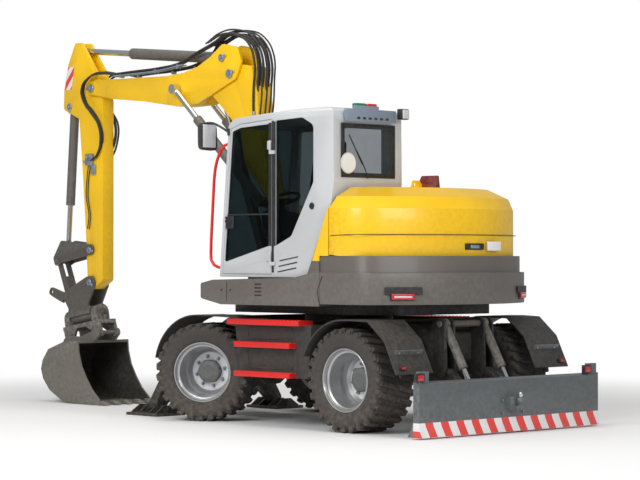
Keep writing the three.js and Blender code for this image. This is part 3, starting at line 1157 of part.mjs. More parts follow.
// Front stabilisers.
for (const [side, sign] of [['left', 1], ['right', -1]]) {
  const side3d = (solid) => (sign > 0 ? solid : mirrorY(solid));
  const [topY, topZ] = LEG_CYLINDER_TOP;
  const [footY, footZ] = LEG_CYLINDER_FOOT;
  const leg = pivot(`${side}_stabiliser`, chassis, [STABILISER_X, sign * STABILISER_PIVOT_Y,
      STABILISER_PIVOT_Z]);
  piece(`${side}_stabiliser_leg`, leg, side3d(stabiliserLeg()), FRAME_BLACK);
  const { barrel, rod } = cylinder([STABILISER_X, topY, topZ], [STABILISER_X, footY, footZ],
    LEG_CYLINDER_CLOSED, 42, 25, EYE_HALF, [1, 0, 0]);
  const swing = pivot(`${side}_stabiliser_barrel`, chassis, [STABILISER_X, sign * topY, topZ]);
  piece(`${side}_stabiliser_barrel`, swing, side3d(barrel), YELLOW);
  const slide = pivot(`${side}_stabiliser_rod`, swing, [STABILISER_X, sign * topY, topZ]);
  piece(`${side}_stabiliser_rod`, slide, side3d(rod), CHROME);
}

// Upper structure and cab.
const upper = pivot('slew', chassis, [0, 0, SLEW_RING_TOP]);
piece('upper_frame', upper, upperFrame(), FRAME_BLACK);
piece('counterweight', upper, counterweight(), WARM_GREY);
piece('left_skirt', upper, leftSkirt(), WARM_GREY);
piece('right_housing', upper, rightHousing(), YELLOW);
piece('engine_block', upper, engineBlock(), STEEL);
const hood = pivot('engine_hood', upper, [HOOD_HINGE_X, 0, HOOD_HINGE_Z]);
piece('engine_hood', hood, engineHood(), YELLOW);
piece('cab_frame', upper, cabFrame(), LIGHT_GREY);
piece('cab_interior', upper, cabInterior(), SEAT_CLOTH);
piece('windshield', upper, windscreen(20, 20 + GLASS, GAP), GLASS_TINT);
piece('quarter_glass', upper, pane(QUARTER_GLASS, CAB_LEFT_Y - 10 - GLASS, CAB_LEFT_Y - 10), GLASS_TINT);
piece('right_glass', upper, pane(RIGHT_GLASS, CAB_RIGHT_Y + 10, CAB_RIGHT_Y + 10 + GLASS), GLASS_TINT);
piece('rear_glass', upper, endPrism(inset(REAR_GLASS, GAP), -868, -868 + GLASS), GLASS_TINT);
piece('left_mirror', upper, leftMirror(), BLACK_PLASTIC);
const door = pivot('cab_door', upper, [DOOR_AXIS_X, DOOR_AXIS_Y, 1400]);
piece('cab_door', door, cabDoor(), LIGHT_GREY);
piece('door_glass', door, pane(DOOR_GLASS, CAB_LEFT_Y - 10 - GLASS, CAB_LEFT_Y - 10), GLASS_TINT);

// Boom, stick and bucket.
const lower = pivot('lower_boom', upper, at3(FOOT_PIN));
piece('lower_boom', lower, lowerBoom(), YELLOW);
const upperArm = pivot('upper_boom', lower, at3(BOOM_PIN));
piece('upper_boom', upperArm, upperBoom(), YELLOW);
const arm = pivot('stick', upperArm, at3(TIP_PIN));
piece('stick', arm, stick(), YELLOW);
const rockerGroup = pivot('rocker', arm, at3(ROCKER_PIN));
piece('rocker', rockerGroup, rocker(), STEEL);
piece('link', pivot('link', rockerGroup, at3(LINK_TOP)), link(), STEEL);
const curl = pivot('bucket_curl', arm, at3(COUPLER_PIN));
piece('coupler', curl, coupler(), STEEL);
const tilt = pivot('tilt', curl, at3(TILT_REAR));
piece('tilt_bracket', tilt, tiltBracket(), STEEL);
piece('bucket', tilt, bucket(), STEEL);

// A cylinder whose barrel hinges on one group and whose rod slides out of the barrel.
function addCylinder(name, parent, base, eye, closed, radius, rodRadius, eyeHalf = EYE_HALF) {
  const { barrel, rod } = cylinder(at3(base), at3(eye), closed, radius, rodRadius, eyeHalf);
  const swing = pivot(`${name}_barrel`, parent, at3(base));
  piece(`${name}_barrel`, swing, barrel, YELLOW);
  piece(`${name}_rod`, pivot(`${name}_rod`, swing, at3(base)), rod, CHROME);
}

addCylinder('lift', upper, LIFT_BASE, LIFT_EYE, LIFT_CLOSED, 55, 32);
addCylinder('arm', upperArm, ARM_BASE, ARM_EYE, ARM_CLOSED, 60, 33);
addCylinder('bucket_cylinder', arm, BUCKET_BASE, BUCKET_EYE, BUCKET_CYLINDER_CLOSED, 50, 28);
const adjustBarrels = pivot('adjust_barrels', lower, at3(ADJUST_BASE));
const adjust = [-1, 1].map((sign) => cylinder(
  at3(ADJUST_BASE, sign * ADJUST_Y), at3(ADJUST_EYE, sign * ADJUST_Y), ADJUST_CLOSED, 50, 30, EYE_HALF));
piece('adjust_barrels', adjustBarrels, join(
  adjust[0].barrel, adjust[1].barrel, pin(ADJUST_BASE, -ADJUST_Y - EYE_HALF, ADJUST_Y + EYE_HALF, SHAFT)),
      YELLOW);
adjust.forEach(({ rod }, i) => {
  const name = ['right', 'left'][i];
  piece(`${name}_adjust_rod`, pivot(`adjust_rod_${name}`, adjustBarrels, at3(ADJUST_BASE)), rod, CHROME);
});

// The origin moves to the ground under the middle of the machine's box.
const box = new THREE.Box3().setFromObject(machine, true);
chassis.position.x -= (box.min.x + box.max.x) / 2;
chassis.position.y -= (box.min.y + box.max.y) / 2;
chassis.position.z -= box.min.z;

export default machine;
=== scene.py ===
# %% [markdown]
# # A wheeled excavator
# The machine's solid pieces come from CAD as a fixed frame, in metres, with X towards the
# bucket, Y towards the cab's side and Z up. This lesson dresses them: first the camera and the
# light, then the finishes, and then the small pieces a buyer would look for, from the tyre
# tread to the hoses.

# %%
import json
import math

import bpy
from mathutils import Matrix, Vector

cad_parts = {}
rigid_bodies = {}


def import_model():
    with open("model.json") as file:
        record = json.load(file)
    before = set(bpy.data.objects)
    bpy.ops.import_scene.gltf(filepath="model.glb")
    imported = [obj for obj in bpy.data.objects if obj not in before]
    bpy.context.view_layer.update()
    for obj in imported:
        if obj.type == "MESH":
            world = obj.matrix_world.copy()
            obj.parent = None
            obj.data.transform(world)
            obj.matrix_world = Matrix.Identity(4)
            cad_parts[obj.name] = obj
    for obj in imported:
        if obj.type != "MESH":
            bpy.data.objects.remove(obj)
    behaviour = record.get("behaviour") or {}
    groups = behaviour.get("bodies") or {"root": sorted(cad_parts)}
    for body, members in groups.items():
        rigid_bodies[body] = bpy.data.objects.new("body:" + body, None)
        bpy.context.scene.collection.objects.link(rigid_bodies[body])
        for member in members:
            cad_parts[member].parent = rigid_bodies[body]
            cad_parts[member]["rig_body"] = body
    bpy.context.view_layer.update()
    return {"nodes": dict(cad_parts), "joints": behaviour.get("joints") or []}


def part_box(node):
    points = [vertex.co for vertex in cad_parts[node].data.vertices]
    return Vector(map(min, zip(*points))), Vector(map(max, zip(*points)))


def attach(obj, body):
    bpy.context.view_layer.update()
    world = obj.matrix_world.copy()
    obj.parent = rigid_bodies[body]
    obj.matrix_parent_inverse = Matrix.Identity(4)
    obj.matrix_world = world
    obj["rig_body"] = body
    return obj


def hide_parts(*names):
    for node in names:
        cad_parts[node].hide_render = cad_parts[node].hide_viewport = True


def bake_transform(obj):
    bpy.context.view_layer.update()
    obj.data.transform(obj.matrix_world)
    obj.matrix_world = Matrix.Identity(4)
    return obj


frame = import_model()
nodes = frame["nodes"]
joints = {joint["name"]: joint for joint in frame["joints"]}
SLEW_X = joints["slew"]["pos_m"][0]
print("frame loaded:", len(nodes), "nodes, slew axis at x =", round(SLEW_X, 3))


# %% [markdown]
# Places on the upper structure are easiest to think of from the slew axis, the pivot that the
# whole house turns on. This helper turns such a place into the frame's own coordinates.

# %%
def at(x, y, z):
    return Vector((x + SLEW_X, y, z))


# %% [markdown]
# ## Camera
# The machine is seen from low behind its left rear corner through a long lens, which keeps
# the far wheels nearly as big as the near ones. A nearly level camera shows little of the
# floor, as in a brochure picture.

# %%
CAMERA_PLACE = at(-15.775, 15.572, 1.595)
CAMERA_HEADING = math.radians(-43.903)
CAMERA_PITCH = math.radians(0.431)
bpy.ops.object.camera_add(location=CAMERA_PLACE)
camera = bpy.context.object
camera.data.lens = 127.8
camera.data.sensor_width = 36.0
camera.data.clip_end = 300.0
looking = Vector((
    math.cos(CAMERA_PITCH) * math.cos(CAMERA_HEADING),
    math.cos(CAMERA_PITCH) * math.sin(CAMERA_HEADING),
    math.sin(CAMERA_PITCH),
))
camera.rotation_euler = looking.to_track_quat("-Z", "Y").to_euler()
bpy.context.scene.camera = camera
print("camera at", tuple(round(v, 2) for v in camera.location))


# %% [markdown]
# ## Finishes
# Colours are written as a paint chart gives them, from 0 to 255, and turned into the linear
# values that a shader mixes.

# %%
def chart(red, green, blue):
    def linear(value):
        share = value / 255
        return share / 12.92 if share <= 0.04045 else ((share + 0.055) / 1.055) ** 2.4

    return (linear(red), linear(green), linear(blue), 1.0)


# %% [markdown]
# Two helpers keep the node graphs readable: one adds a node and fills its inputs, from a
# number, a colour or another node's output, and one makes a group's outside sockets.

# %%
def add_node(tree, kind, settings=None, **inputs):
    made = tree.nodes.new(kind)
    for key, value in (settings or {}).items():
        setattr(made, key, value)
    for key, value in inputs.items():
        socket = made.inputs[int(key[1:])] if key[0] == "i" and key[1:].isdigit() else (
            made.inputs[key.replace("_", " ")])
        if isinstance(value, bpy.types.NodeSocket):
            tree.links.new(value, socket)
        else:
            socket.default_value = value
    return made


def math_node(tree, operation, first, second=0.0):
    made = add_node(tree, "ShaderNodeMath", {"operation": operation}, i0=first, i1=second)
    return made.outputs[0]


def mix_colour(tree, share, first, second):
    made = add_node(tree, "ShaderNodeMix", {"data_type": "RGBA"})
    for socket, value in ((made.inputs[0], share), (made.inputs[6], first),
                          (made.inputs[7], second)):
        if isinstance(value, bpy.types.NodeSocket):
            tree.links.new(value, socket)
        else:
            socket.default_value = value
    return made.outputs[2]


def new_group(name, inputs, outputs):
    tree = bpy.data.node_groups.new(name, "ShaderNodeTree")
    for direction, sockets in (("INPUT", inputs), ("OUTPUT", outputs)):
        for label, kind, value in sockets:
            socket = tree.interface.new_socket(name=label, in_out=direction, socket_type=kind)
            if direction == "INPUT":
                socket.default_value = value
    return tree, tree.nodes.new("NodeGroupInput"), tree.nodes.new("NodeGroupOutput")


# %% [markdown]
# A working machine is never one flat colour. Its paint varies a little from panel to panel,
# its edges are rubbed thin, and dust settles low down and on what faces up. One group makes
# all of that, and every finish below uses it with its own values.

# %%
COLOUR, NUMBER = "NodeSocketColor", "NodeSocketFloat"
weathering, group_in, group_out = new_group("weathering", [
    ("Paint", COLOUR, (0.5, 0.5, 0.5, 1)),
    ("Bare", COLOUR, (0.3, 0.3, 0.3, 1)),
    ("Dust", COLOUR, chart(150, 138, 120)),
    ("Roughness", NUMBER, 0.4),
    ("Edge wear", NUMBER, 0.4),
    ("Dust amount", NUMBER, 0.3),
    ("Dust top", NUMBER, 1.2),
    ("Grain", NUMBER, 160.0),
], [("Colour", COLOUR, None), ("Roughness", NUMBER, None), ("Height", NUMBER, None)])
place = add_node(weathering, "ShaderNodeTexCoord").outputs["Object"]
shape = add_node(weathering, "ShaderNodeNewGeometry")
clouds = add_node(weathering, "ShaderNodeTexNoise", Vector=place, Scale=1.7, Detail=3.0)
blotches = add_node(weathering, "ShaderNodeTexNoise", Vector=place, Scale=26.0, Detail=6.0)
grain = add_node(weathering, "ShaderNodeTexNoise", Vector=place, Scale=group_in.outputs["Grain"],
                 Detail=2.0)
darker = mix_colour(weathering, 0.12, group_in.outputs["Paint"], (0.02, 0.02, 0.02, 1))
tone = add_node(weathering, "ShaderNodeMapRange", Value=clouds.outputs[0], From_Min=0.35,
                From_Max=0.68).outputs[0]
varied = mix_colour(weathering, tone, group_in.outputs["Paint"], darker)
sharp = add_node(weathering, "ShaderNodeMapRange", Value=shape.outputs["Pointiness"],
                 From_Min=0.52, From_Max=0.60).outputs[0]
patchy = add_node(weathering, "ShaderNodeMapRange", Value=blotches.outputs[0], From_Min=0.36,
                  From_Max=0.70).outputs[0]
rubbed = math_node(weathering, "MULTIPLY", math_node(weathering, "MULTIPLY", sharp, patchy),
                   group_in.outputs["Edge wear"])
worn = mix_colour(weathering, rubbed, varied, group_in.outputs["Bare"])
height = add_node(weathering, "ShaderNodeSeparateXYZ", Vector=place).outputs[2]
low = add_node(weathering, "ShaderNodeMapRange", Value=height,
               From_Min=group_in.outputs["Dust top"], From_Max=0.0).outputs[0]
upward = add_node(weathering, "ShaderNodeSeparateXYZ", Vector=shape.outputs["Normal"]).outputs[2]
settled = add_node(weathering, "ShaderNodeMapRange", Value=upward, From_Min=0.2, From_Max=1.0,
                   To_Max=0.5).outputs[0]
dusty = math_node(weathering, "MULTIPLY", math_node(weathering, "ADD", low, settled), patchy)
dust = math_node(weathering, "MULTIPLY", dusty, group_in.outputs["Dust amount"])
finished = mix_colour(weathering, dust, worn, group_in.outputs["Dust"])
dull = math_node(weathering, "MULTIPLY", math_node(weathering, "ADD", dust, rubbed), 0.4)
rougher = math_node(weathering, "ADD", group_in.outputs["Roughness"], dull)
weathering.links.new(finished, group_out.inputs["Colour"])
weathering.links.new(math_node(weathering, "ADD", rougher, math_node(
    weathering, "MULTIPLY", blotches.outputs[0], 0.08)), group_out.inputs["Roughness"])
weathering.links.new(grain.outputs[0], group_out.inputs["Height"])
print("weathering group has", len(weathering.nodes), "nodes")


# %% [markdown]
# Each finish is a material of its own: the group feeds the shader's colour, roughness and
# bump, while its metal, coat and glass numbers sit on the shader itself.

# %%
GRAIN_DEPTH = 0.002
COAT_ROUGHNESS = 0.12


def finish(name, paint, bare=(0.25, 0.25, 0.25, 1), roughness=0.4, wear=0.35, dust=0.25,
           dust_top=1.2, grain=160.0, bump=0.05, metallic=0.0, coat=0.0):
    material = bpy.data.materials.new(name)
    material.use_nodes = True
    tree = material.node_tree
    shader = tree.nodes["Principled BSDF"]
    group = add_node(tree, "ShaderNodeGroup", {"node_tree": weathering}, Paint=paint, Bare=bare,
                     Roughness=roughness, Edge_wear=wear, Dust_amount=dust, Dust_top=dust_top,
                     Grain=grain)
    relief = add_node(tree, "ShaderNodeBump", Height=group.outputs["Height"], Strength=bump,
                      Distance=GRAIN_DEPTH)
    tree.links.new(group.outputs["Colour"], shader.inputs["Base Color"])
    tree.links.new(group.outputs["Roughness"], shader.inputs["Roughness"])
    tree.links.new(relief.outputs[0], shader.inputs["Normal"])
    shader.inputs["Metallic"].default_value = metallic
    shader.inputs["Coat Weight"].default_value = coat
    shader.inputs["Coat Roughness"].default_value = COAT_ROUGHNESS
    return material


yellow = finish("yellow_paint", chart(252, 200, 0), bare=chart(120, 100, 40), roughness=0.34,
                wear=0.25, dust=0.06, dust_top=1.0, bump=0.04, coat=0.2)
cab_grey = finish("cab_grey_paint", chart(196, 198, 200), roughness=0.34, wear=0.2, dust=0.1,
                  coat=0.25, bump=0.04)
warm_grey = finish("warm_grey_paint", chart(98, 93, 88), roughness=0.42, wear=0.3, dust=0.3,
                   dust_top=1.6, coat=0.1)
cast_grey = finish("cast_grey_paint", chart(82, 78, 74), bare=chart(150, 148, 144), roughness=0.5,
                   wear=0.7, dust=0.35, dust_top=1.8, grain=70.0, bump=0.12)
bucket_grey = finish("bucket_steel", chart(112, 109, 102), bare=chart(170, 168, 160),
                     roughness=0.48, wear=0.8, dust=0.3, dust_top=0.9, grain=60.0, bump=0.15,
                     metallic=0.25)
# a much darker finish for the faces inside the hollow of the bucket
dark_bucket_hollow = finish("bucket_inside", chart(40, 39, 37), bare=chart(86, 82, 76), roughness=0.72,
                     wear=0.3, dust=0.15, grain=45.0, bump=0.3)
frame_black = finish("frame_black_paint", chart(36, 35, 35), roughness=0.5, wear=0.4, dust=0.2,
                     grain=90.0, bump=0.1)
fender_black = finish("moulded_plastic", chart(48, 46, 45), bare=chart(90, 86, 82), roughness=0.58,
                      wear=0.25, dust=0.2, grain=420.0, bump=0.3)
rubber = finish("tyre_rubber", chart(60, 56, 54), bare=chart(88, 83, 78), roughness=0.75, wear=0.3,
                dust=0.3, dust_top=0.9, grain=220.0, bump=0.25)
rim_silver = finish("rim_silver", chart(186, 187, 189), roughness=0.3, wear=0.2, dust=0.25,
                    metallic=0.75, coat=0.2)
disc_white = finish("wheel_disc_paint", chart(236, 237, 239), roughness=0.36, wear=0.2, dust=0.08,
                    metallic=0.2)
hub_grey = finish("hub_grey_paint", chart(96, 99, 100), bare=chart(150, 150, 150), roughness=0.5,
                  wear=0.6, dust=0.3, grain=80.0, bump=0.2)
chrome = finish("chrome_rod", chart(214, 216, 218), bare=chart(200, 200, 200), roughness=0.1,
                wear=0.1, dust=0.04, metallic=1.0, bump=0.01)
zinc = finish("zinc_fitting", chart(146, 160, 178), bare=chart(200, 204, 208), roughness=0.32,
              wear=0.6, dust=0.15, metallic=0.7)
red_paint = finish("red_paint", chart(225, 14, 14), bare=chart(120, 60, 50), roughness=0.4,
                   wear=0.3, dust=0.15)
seat_cloth = finish("seat_cloth", chart(52, 55, 60), roughness=0.85, wear=0.0, dust=0.1,
                    grain=900.0, bump=0.6)
# The black below is the colour of trim, seals and housings, and it is also painted shade in the
# hood's groove and in slots.
black_trim_and_painted_shade = finish("black_trim_and_painted_shade", chart(24, 24, 25), roughness=0.45, wear=0.1, dust=0.15,
                    grain=300.0, bump=0.1)
hose_black = finish("hose_rubber", chart(38, 37, 37), roughness=0.6, wear=0.1, dust=0.2,
                    grain=600.0, bump=0.4)
plate_white = finish("sign_white", chart(238, 238, 236), roughness=0.45, wear=0.1, dust=0.08)
lamp_red = finish("lamp_red", chart(196, 22, 24), roughness=0.18, wear=0.0, dust=0.08, coat=0.6)
# The pale finish below colours the clear lenses, and on the mirror's face it is a painted
# reflection.
clear_lens_and_painted_reflection = finish("clear_lens_and_painted_reflection", chart(206, 208, 210), roughness=0.15, wear=0.0, dust=0.06,
                    coat=0.6)
lamp_green = finish("lamp_green", chart(10, 116, 84), roughness=0.2, wear=0.0, dust=0.05, coat=0.5)
bar_grey = finish("bar_grey_paint", chart(136, 150, 168), roughness=0.38, wear=0.4, dust=0.12,
                  metallic=0.3)
maroon = finish("maroon_paint", chart(112, 14, 18), roughness=0.42, wear=0.4, dust=0.15)
print(len(bpy.data.materials), "finishes mixed")


# %% [markdown]
# Window glass lets light through and is tinted dark, so it is a shader of its own: full
# transmission with a low roughness, and a fine haze of dust in its colour only.

# %%
PANE_ROUGHNESS = 0.03
PANE_IOR = 1.12        # a thin pane bends light far less than a solid block does
HAZE = 0.75            # how dark the haziest spot is, against the plain tint


def glass(name, tint):
    material = bpy.data.materials.new(name)
    material.use_nodes = True
    tree = material.node_tree
    shader = tree.nodes["Principled BSDF"]
    spot = add_node(tree, "ShaderNodeTexCoord").outputs["Object"]
    haze = add_node(tree, "ShaderNodeTexNoise", Vector=spot, Scale=3.0, Detail=4.0)
    colour = mix_colour(tree, haze.outputs[0], tint, tuple(HAZE * c for c in tint[:3]) + (1,))
    tree.links.new(colour, shader.inputs["Base Color"])
    shader.inputs["Roughness"].default_value = PANE_ROUGHNESS
    shader.inputs["IOR"].default_value = PANE_IOR
    shader.inputs["Transmission Weight"].default_value = 1.0
    return material


tinted = glass("tinted_glass", chart(118, 134, 138))
rear_clear = glass("rear_glass", chart(240, 244, 247))


# %% [markdown]
# The hazard stripes are one pattern: slanting bands in turn red and white, counted along a
# line through the piece. The blade's lower edge carries them, above its worn cutting edge.

# %%
STRIPE_RED = chart(232, 40, 36)
STRIPE_WHITE = chart(236, 236, 238)
STRIPE_SCUFFED = chart(170, 150, 140)


def striped(name, base, across, rise, pitch, below=None):
    material = base.copy()
    material.name = name
    tree = material.node_tree
    shader = tree.nodes["Principled BSDF"]
    ground = shader.inputs["Base Color"].links[0].from_socket
    spot = add_node(tree, "ShaderNodeSeparateXYZ",
                    Vector=add_node(tree, "ShaderNodeTexCoord").outputs["Object"])
    run = math_node(tree, "ADD", spot.outputs[across], math_node(
        tree, "MULTIPLY", spot.outputs[2], rise))
    phase = math_node(tree, "FRACT", math_node(tree, "DIVIDE", run, pitch))
    band = math_node(tree, "GREATER_THAN", phase, 0.5)
    stripes = mix_colour(tree, band, STRIPE_RED, STRIPE_WHITE)
    worn = add_node(tree, "ShaderNodeTexNoise", Vector=spot.inputs[0].links[0].from_socket,
                    Scale=9.0, Detail=4.0)
    stripes = mix_colour(tree, math_node(tree, "MULTIPLY", worn.outputs[0], 0.25), stripes,
                         STRIPE_SCUFFED)
    if below:
        face = math_node(tree, "LESS_THAN", spot.outputs[0], below[1])
        stripes_here = math_node(tree, "MULTIPLY", face,
                                 math_node(tree, "LESS_THAN", spot.outputs[2], below[0]))
        stripes = mix_colour(tree, stripes_here, ground, stripes)
    tree.links.new(stripes, shader.inputs["Base Color"])
    return material


blade_low, blade_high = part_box("blade")
blade_grey = finish("blade_paint", chart(84, 91, 95), bare=chart(150, 150, 150), roughness=0.36,
                    wear=0.4, dust=0.3, dust_top=0.8, coat=0.15)
STRIPE_TOP = 0.145
BLADE_PLATE_DEPTH = 0.2
blade_striped = striped("blade_stripes", blade_grey, 1, -0.35, 0.2,
                        below=(STRIPE_TOP, blade_low.x + BLADE_PLATE_DEPTH))
sticker = striped("elbow_stripes", yellow, 0, 0.9, 0.15)
print("blade box", [round(v, 3) for v in (*blade_low, *blade_high)])


# %% [markdown]
# ## Dressing the CAD pieces
# Each CAD piece that keeps its shape gets one of the finishes. The windows get glass.

# %%
DRESS = {
    yellow: "engine_hood right_housing lower_boom upper_boom stick",
    cab_grey: "cab_frame cab_door",
    warm_grey: "counterweight left_skirt lift_barrel arm_barrel adjust_barrels "
               "bucket_cylinder_barrel",
    cast_grey: "rocker link coupler tilt_bracket engine_block blade_cylinder_barrels "
               "left_stabiliser_barrel right_stabiliser_barrel",
    bucket_grey: "bucket",
    frame_black: "chassis_frame front_axle rear_axle left_knuckle right_knuckle upper_frame "
                 "left_stabiliser_leg right_stabiliser_leg blade_arms",
    fender_black: "front_fenders rear_fenders left_steps right_steps left_mirror",
    blade_striped: "blade",
    seat_cloth: "cab_interior",
    tinted: "windshield quarter_glass door_glass",
    rear_clear: "rear_glass right_glass",
    chrome: "lift_rod arm_rod bucket_cylinder_rod left_adjust_rod right_adjust_rod "
            "left_blade_cylinder_rod right_blade_cylinder_rod left_stabiliser_rod "
            "right_stabiliser_rod",
    rim_silver: "front_left_rim front_right_rim rear_left_rim rear_right_rim",
    rubber: "front_left_tyre front_right_tyre rear_left_tyre rear_right_tyre",
}
for material, names in DRESS.items():
    for name in names.split():
        nodes[name].data.materials.clear()
        nodes[name].data.materials.append(material)
print("dressed", sum(len(names.split()) for names in DRESS.values()), "of", len(nodes))


# %% [markdown]
# ## Floor and light
# A brochure picture stands the machine on white. The floor is a pale sheet that keeps the
# machine's shadow, and the world shows white to the camera but lights the paint more gently.

# %%
FLOOR_SIZE = 400
FADE_START, FADE_END = 3.5, 9.0
WORLD_LIGHT = 0.38
bpy.ops.mesh.primitive_plane_add(size=FLOOR_SIZE, location=(0, 0, 0))
floor = bpy.context.object
floor.name = "floor"
pale = bpy.data.materials.new("pale_floor")
pale.use_nodes = True
ground = pale.node_tree
ground_shader = ground.nodes["Principled BSDF"]
speckle = add_node(ground, "ShaderNodeTexNoise", Scale=40.0, Detail=3.0,
                   Vector=add_node(ground, "ShaderNodeTexCoord").outputs["Object"])
ground.links.new(mix_colour(ground, speckle.outputs[0], (0.86, 0.86, 0.86, 1),
                            (0.9, 0.9, 0.9, 1)), ground_shader.inputs["Base Color"])
ground_shader.inputs["Roughness"].default_value = 0.7
far_off = add_node(ground, "ShaderNodeVectorMath", {"operation": "LENGTH"},
                   i0=add_node(ground, "ShaderNodeTexCoord").outputs["Object"]).outputs["Value"]
fade = add_node(ground, "ShaderNodeMapRange", {"interpolation_type": "SMOOTHSTEP"},
                Value=far_off, From_Min=FADE_START, From_Max=FADE_END).outputs[0]
viewed = add_node(ground, "ShaderNodeLightPath").outputs["Is Camera Ray"]
blank = add_node(ground, "ShaderNodeEmission", Color=(1, 1, 1, 1), Strength=1.0)
blended = add_node(ground, "ShaderNodeMixShader", i0=math_node(ground, "MULTIPLY", fade, viewed),
                   i1=ground_shader.outputs[0], i2=blank.outputs[0])
ground.links.new(blended.outputs[0], ground.nodes["Material Output"].inputs["Surface"])
floor.data.materials.append(pale)

world = bpy.data.worlds.new("studio")
world.use_nodes = True
bpy.context.scene.world = world
sky = world.node_tree.nodes["Background"]
seen = add_node(world.node_tree, "ShaderNodeLightPath").outputs["Is Camera Ray"]
strength = add_node(world.node_tree, "ShaderNodeMapRange", Value=seen, To_Min=WORLD_LIGHT,
                    To_Max=1.0)
world.node_tree.links.new(strength.outputs[0], sky.inputs["Strength"])
sky.inputs["Color"].default_value = (1, 1, 1, 1)


def soft_box(name, place, aim, size, power):
    bpy.ops.object.light_add(type="AREA", location=place)
    light = bpy.context.object
    light.name = name
    light.data.shape = "RECTANGLE"
    light.data.size, light.data.size_y = size
    light.data.energy = power
    light.rotation_euler = (Vector(aim) - Vector(place)).to_track_quat("-Z", "Y").to_euler()


soft_box("key_light", (-3.0, 11.0, 8.0), (-0.5, 0, 1.4), (7, 5), 900)
soft_box("tail_light_box", (-13.0, 3.0, 6.0), (-2.0, 0, 1.5), (6, 3), 420)
soft_box("top_light", (0.0, 0.0, 10.0), (0, 0, 1), (9, 5), 380)
bpy.context.scene.view_settings.view_transform = "Standard"


# %% [markdown]
# ## Helpers for modelling
# An operator acts on whatever is selected, so each step starts with nothing selected. A
# finished piece has its place in its mesh, takes a finish and rides on a CAD body.

# %%
SMOOTH_ANGLE = 35


def nothing_selected():
    if bpy.context.mode != "OBJECT":
        bpy.ops.object.mode_set(mode="OBJECT")
    bpy.ops.object.select_all(action="DESELECT")


def only(piece):
    nothing_selected()
    piece.select_set(True)
    bpy.context.view_layer.objects.active = piece
    return piece


def apply_place(piece):
    only(piece)
    bpy.ops.object.transform_apply(location=True, rotation=True, scale=True)
    return piece


def joined(pieces):
    nothing_selected()
    for piece in pieces:
        piece.select_set(True)
    bpy.context.view_layer.objects.active = pieces[0]
    if len(pieces) > 1:
        bpy.ops.object.join()
    return bpy.context.view_layer.objects.active


def keep(piece, name, body, material, smooth=SMOOTH_ANGLE):
    apply_place(piece)
    piece.name = name
    piece.data.name = name
    if material:
        piece.data.materials.clear()
        piece.data.materials.append(material)
    bpy.ops.object.shade_smooth_by_angle(angle=math.radians(smooth))
    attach(piece, body)
    return piece


# %% [markdown]
# A moulded or folded box starts as a cube of its real size, and a bevel rounds its edges.

# %%
def box_piece(low, high, bevel=0.008, segments=2, turn=0.0):
    low, high = Vector(low), Vector(high)
    bpy.ops.mesh.primitive_cube_add(size=1, location=(low + high) / 2)
    piece = bpy.context.object
    piece.scale = high - low
    only(piece)
    bpy.ops.object.transform_apply(location=False, rotation=False, scale=True)
    piece.rotation_euler.z = math.radians(turn)
    rounding = piece.modifiers.new("rounding", "BEVEL")
    rounding.width = bevel
    rounding.segments = segments
    bpy.ops.object.modifier_apply(modifier="rounding")
    return apply_place(piece)


# %% [markdown]
# A turned part, such as a wheel, a pin head or a nut, starts as a circle. Its rim is extruded
# and scaled ring by ring, the way a lathe follows a profile. Rings are (radius, height). A
# hollow one, such as a tyre, ends on the ring it started with, and the seam is merged.

# %%
SEAM_GAP = 0.00005


def turned_piece(rings, sides=32, centre=(0, 0, 0), along=(0, 0, 1), hollow=False):
    radius, height = rings[0]
    bpy.ops.mesh.primitive_circle_add(vertices=sides, radius=radius, location=(0, 0, height),
                                      fill_type="NOTHING" if hollow else "NGON")
    piece = apply_place(bpy.context.object)
    bpy.ops.object.mode_set(mode="EDIT")
    bpy.ops.mesh.select_mode(type="VERT")
    bpy.ops.mesh.select_all(action="SELECT")
    for next_radius, next_height in rings[1:]:
        bpy.ops.mesh.extrude_region_move(
            TRANSFORM_OT_translate={"value": (0, 0, next_height - height)})
        share = next_radius / radius
        bpy.ops.transform.resize(value=(share, share, 1), center_override=(0, 0, next_height))
        radius, height = next_radius, next_height
    bpy.ops.mesh.select_all(action="SELECT")
    if hollow:
        bpy.ops.mesh.remove_doubles(threshold=SEAM_GAP)
    bpy.ops.mesh.normals_make_consistent(inside=False)
    bpy.ops.object.mode_set(mode="OBJECT")
    piece.rotation_euler = Vector(along).to_track_quat("Z", "Y").to_euler()
    piece.location = centre
    return apply_place(piece)


# %% [markdown]
# A rail, a hose or a steel pipe is a smooth curve with a round section, made a mesh once it
# runs where it should.

# %%
def run_of(points, radius, smooth=True, sides=2, steps=6):
    curve = bpy.data.curves.new("run", "CURVE")
    curve.dimensions = "3D"
    curve.bevel_depth = radius
    curve.bevel_resolution = sides
    curve.resolution_u = steps
    curve.use_fill_caps = True
    spline = curve.splines.new("BEZIER" if smooth else "POLY")
    if smooth:
        spline.bezier_points.add(len(points) - 1)
        for knot, point in zip(spline.bezier_points, points):
            knot.co = point
            knot.handle_left_type = knot.handle_right_type = "AUTO"
    else:
        spline.points.add(len(points) - 1)
        for knot, point in zip(spline.points, points):
            knot.co = (*point, 1)
    piece = bpy.data.objects.new("run", curve)
    bpy.context.scene.collection.objects.link(piece)
    only(piece)
    bpy.ops.object.convert(target="MESH")
    return bpy.context.object


def rounded_path(corners, bend, steps=4):
    path = [Vector(corners[0])]
    for before, corner, after in zip(corners, corners[1:], corners[2:]):
        before, corner, after = Vector(before), Vector(corner), Vector(after)
        start = corner + (before - corner).normalized() * bend
        end = corner + (after - corner).normalized() * bend
        for step in range(steps + 1):
            t = step / steps
            path.append(start.lerp(corner, t).lerp(corner.lerp(end, t), t))
    return path + [Vector(corners[-1])]


# %% [markdown]
# What repeats is modelled once and copied, each copy with its own mesh at its own place.

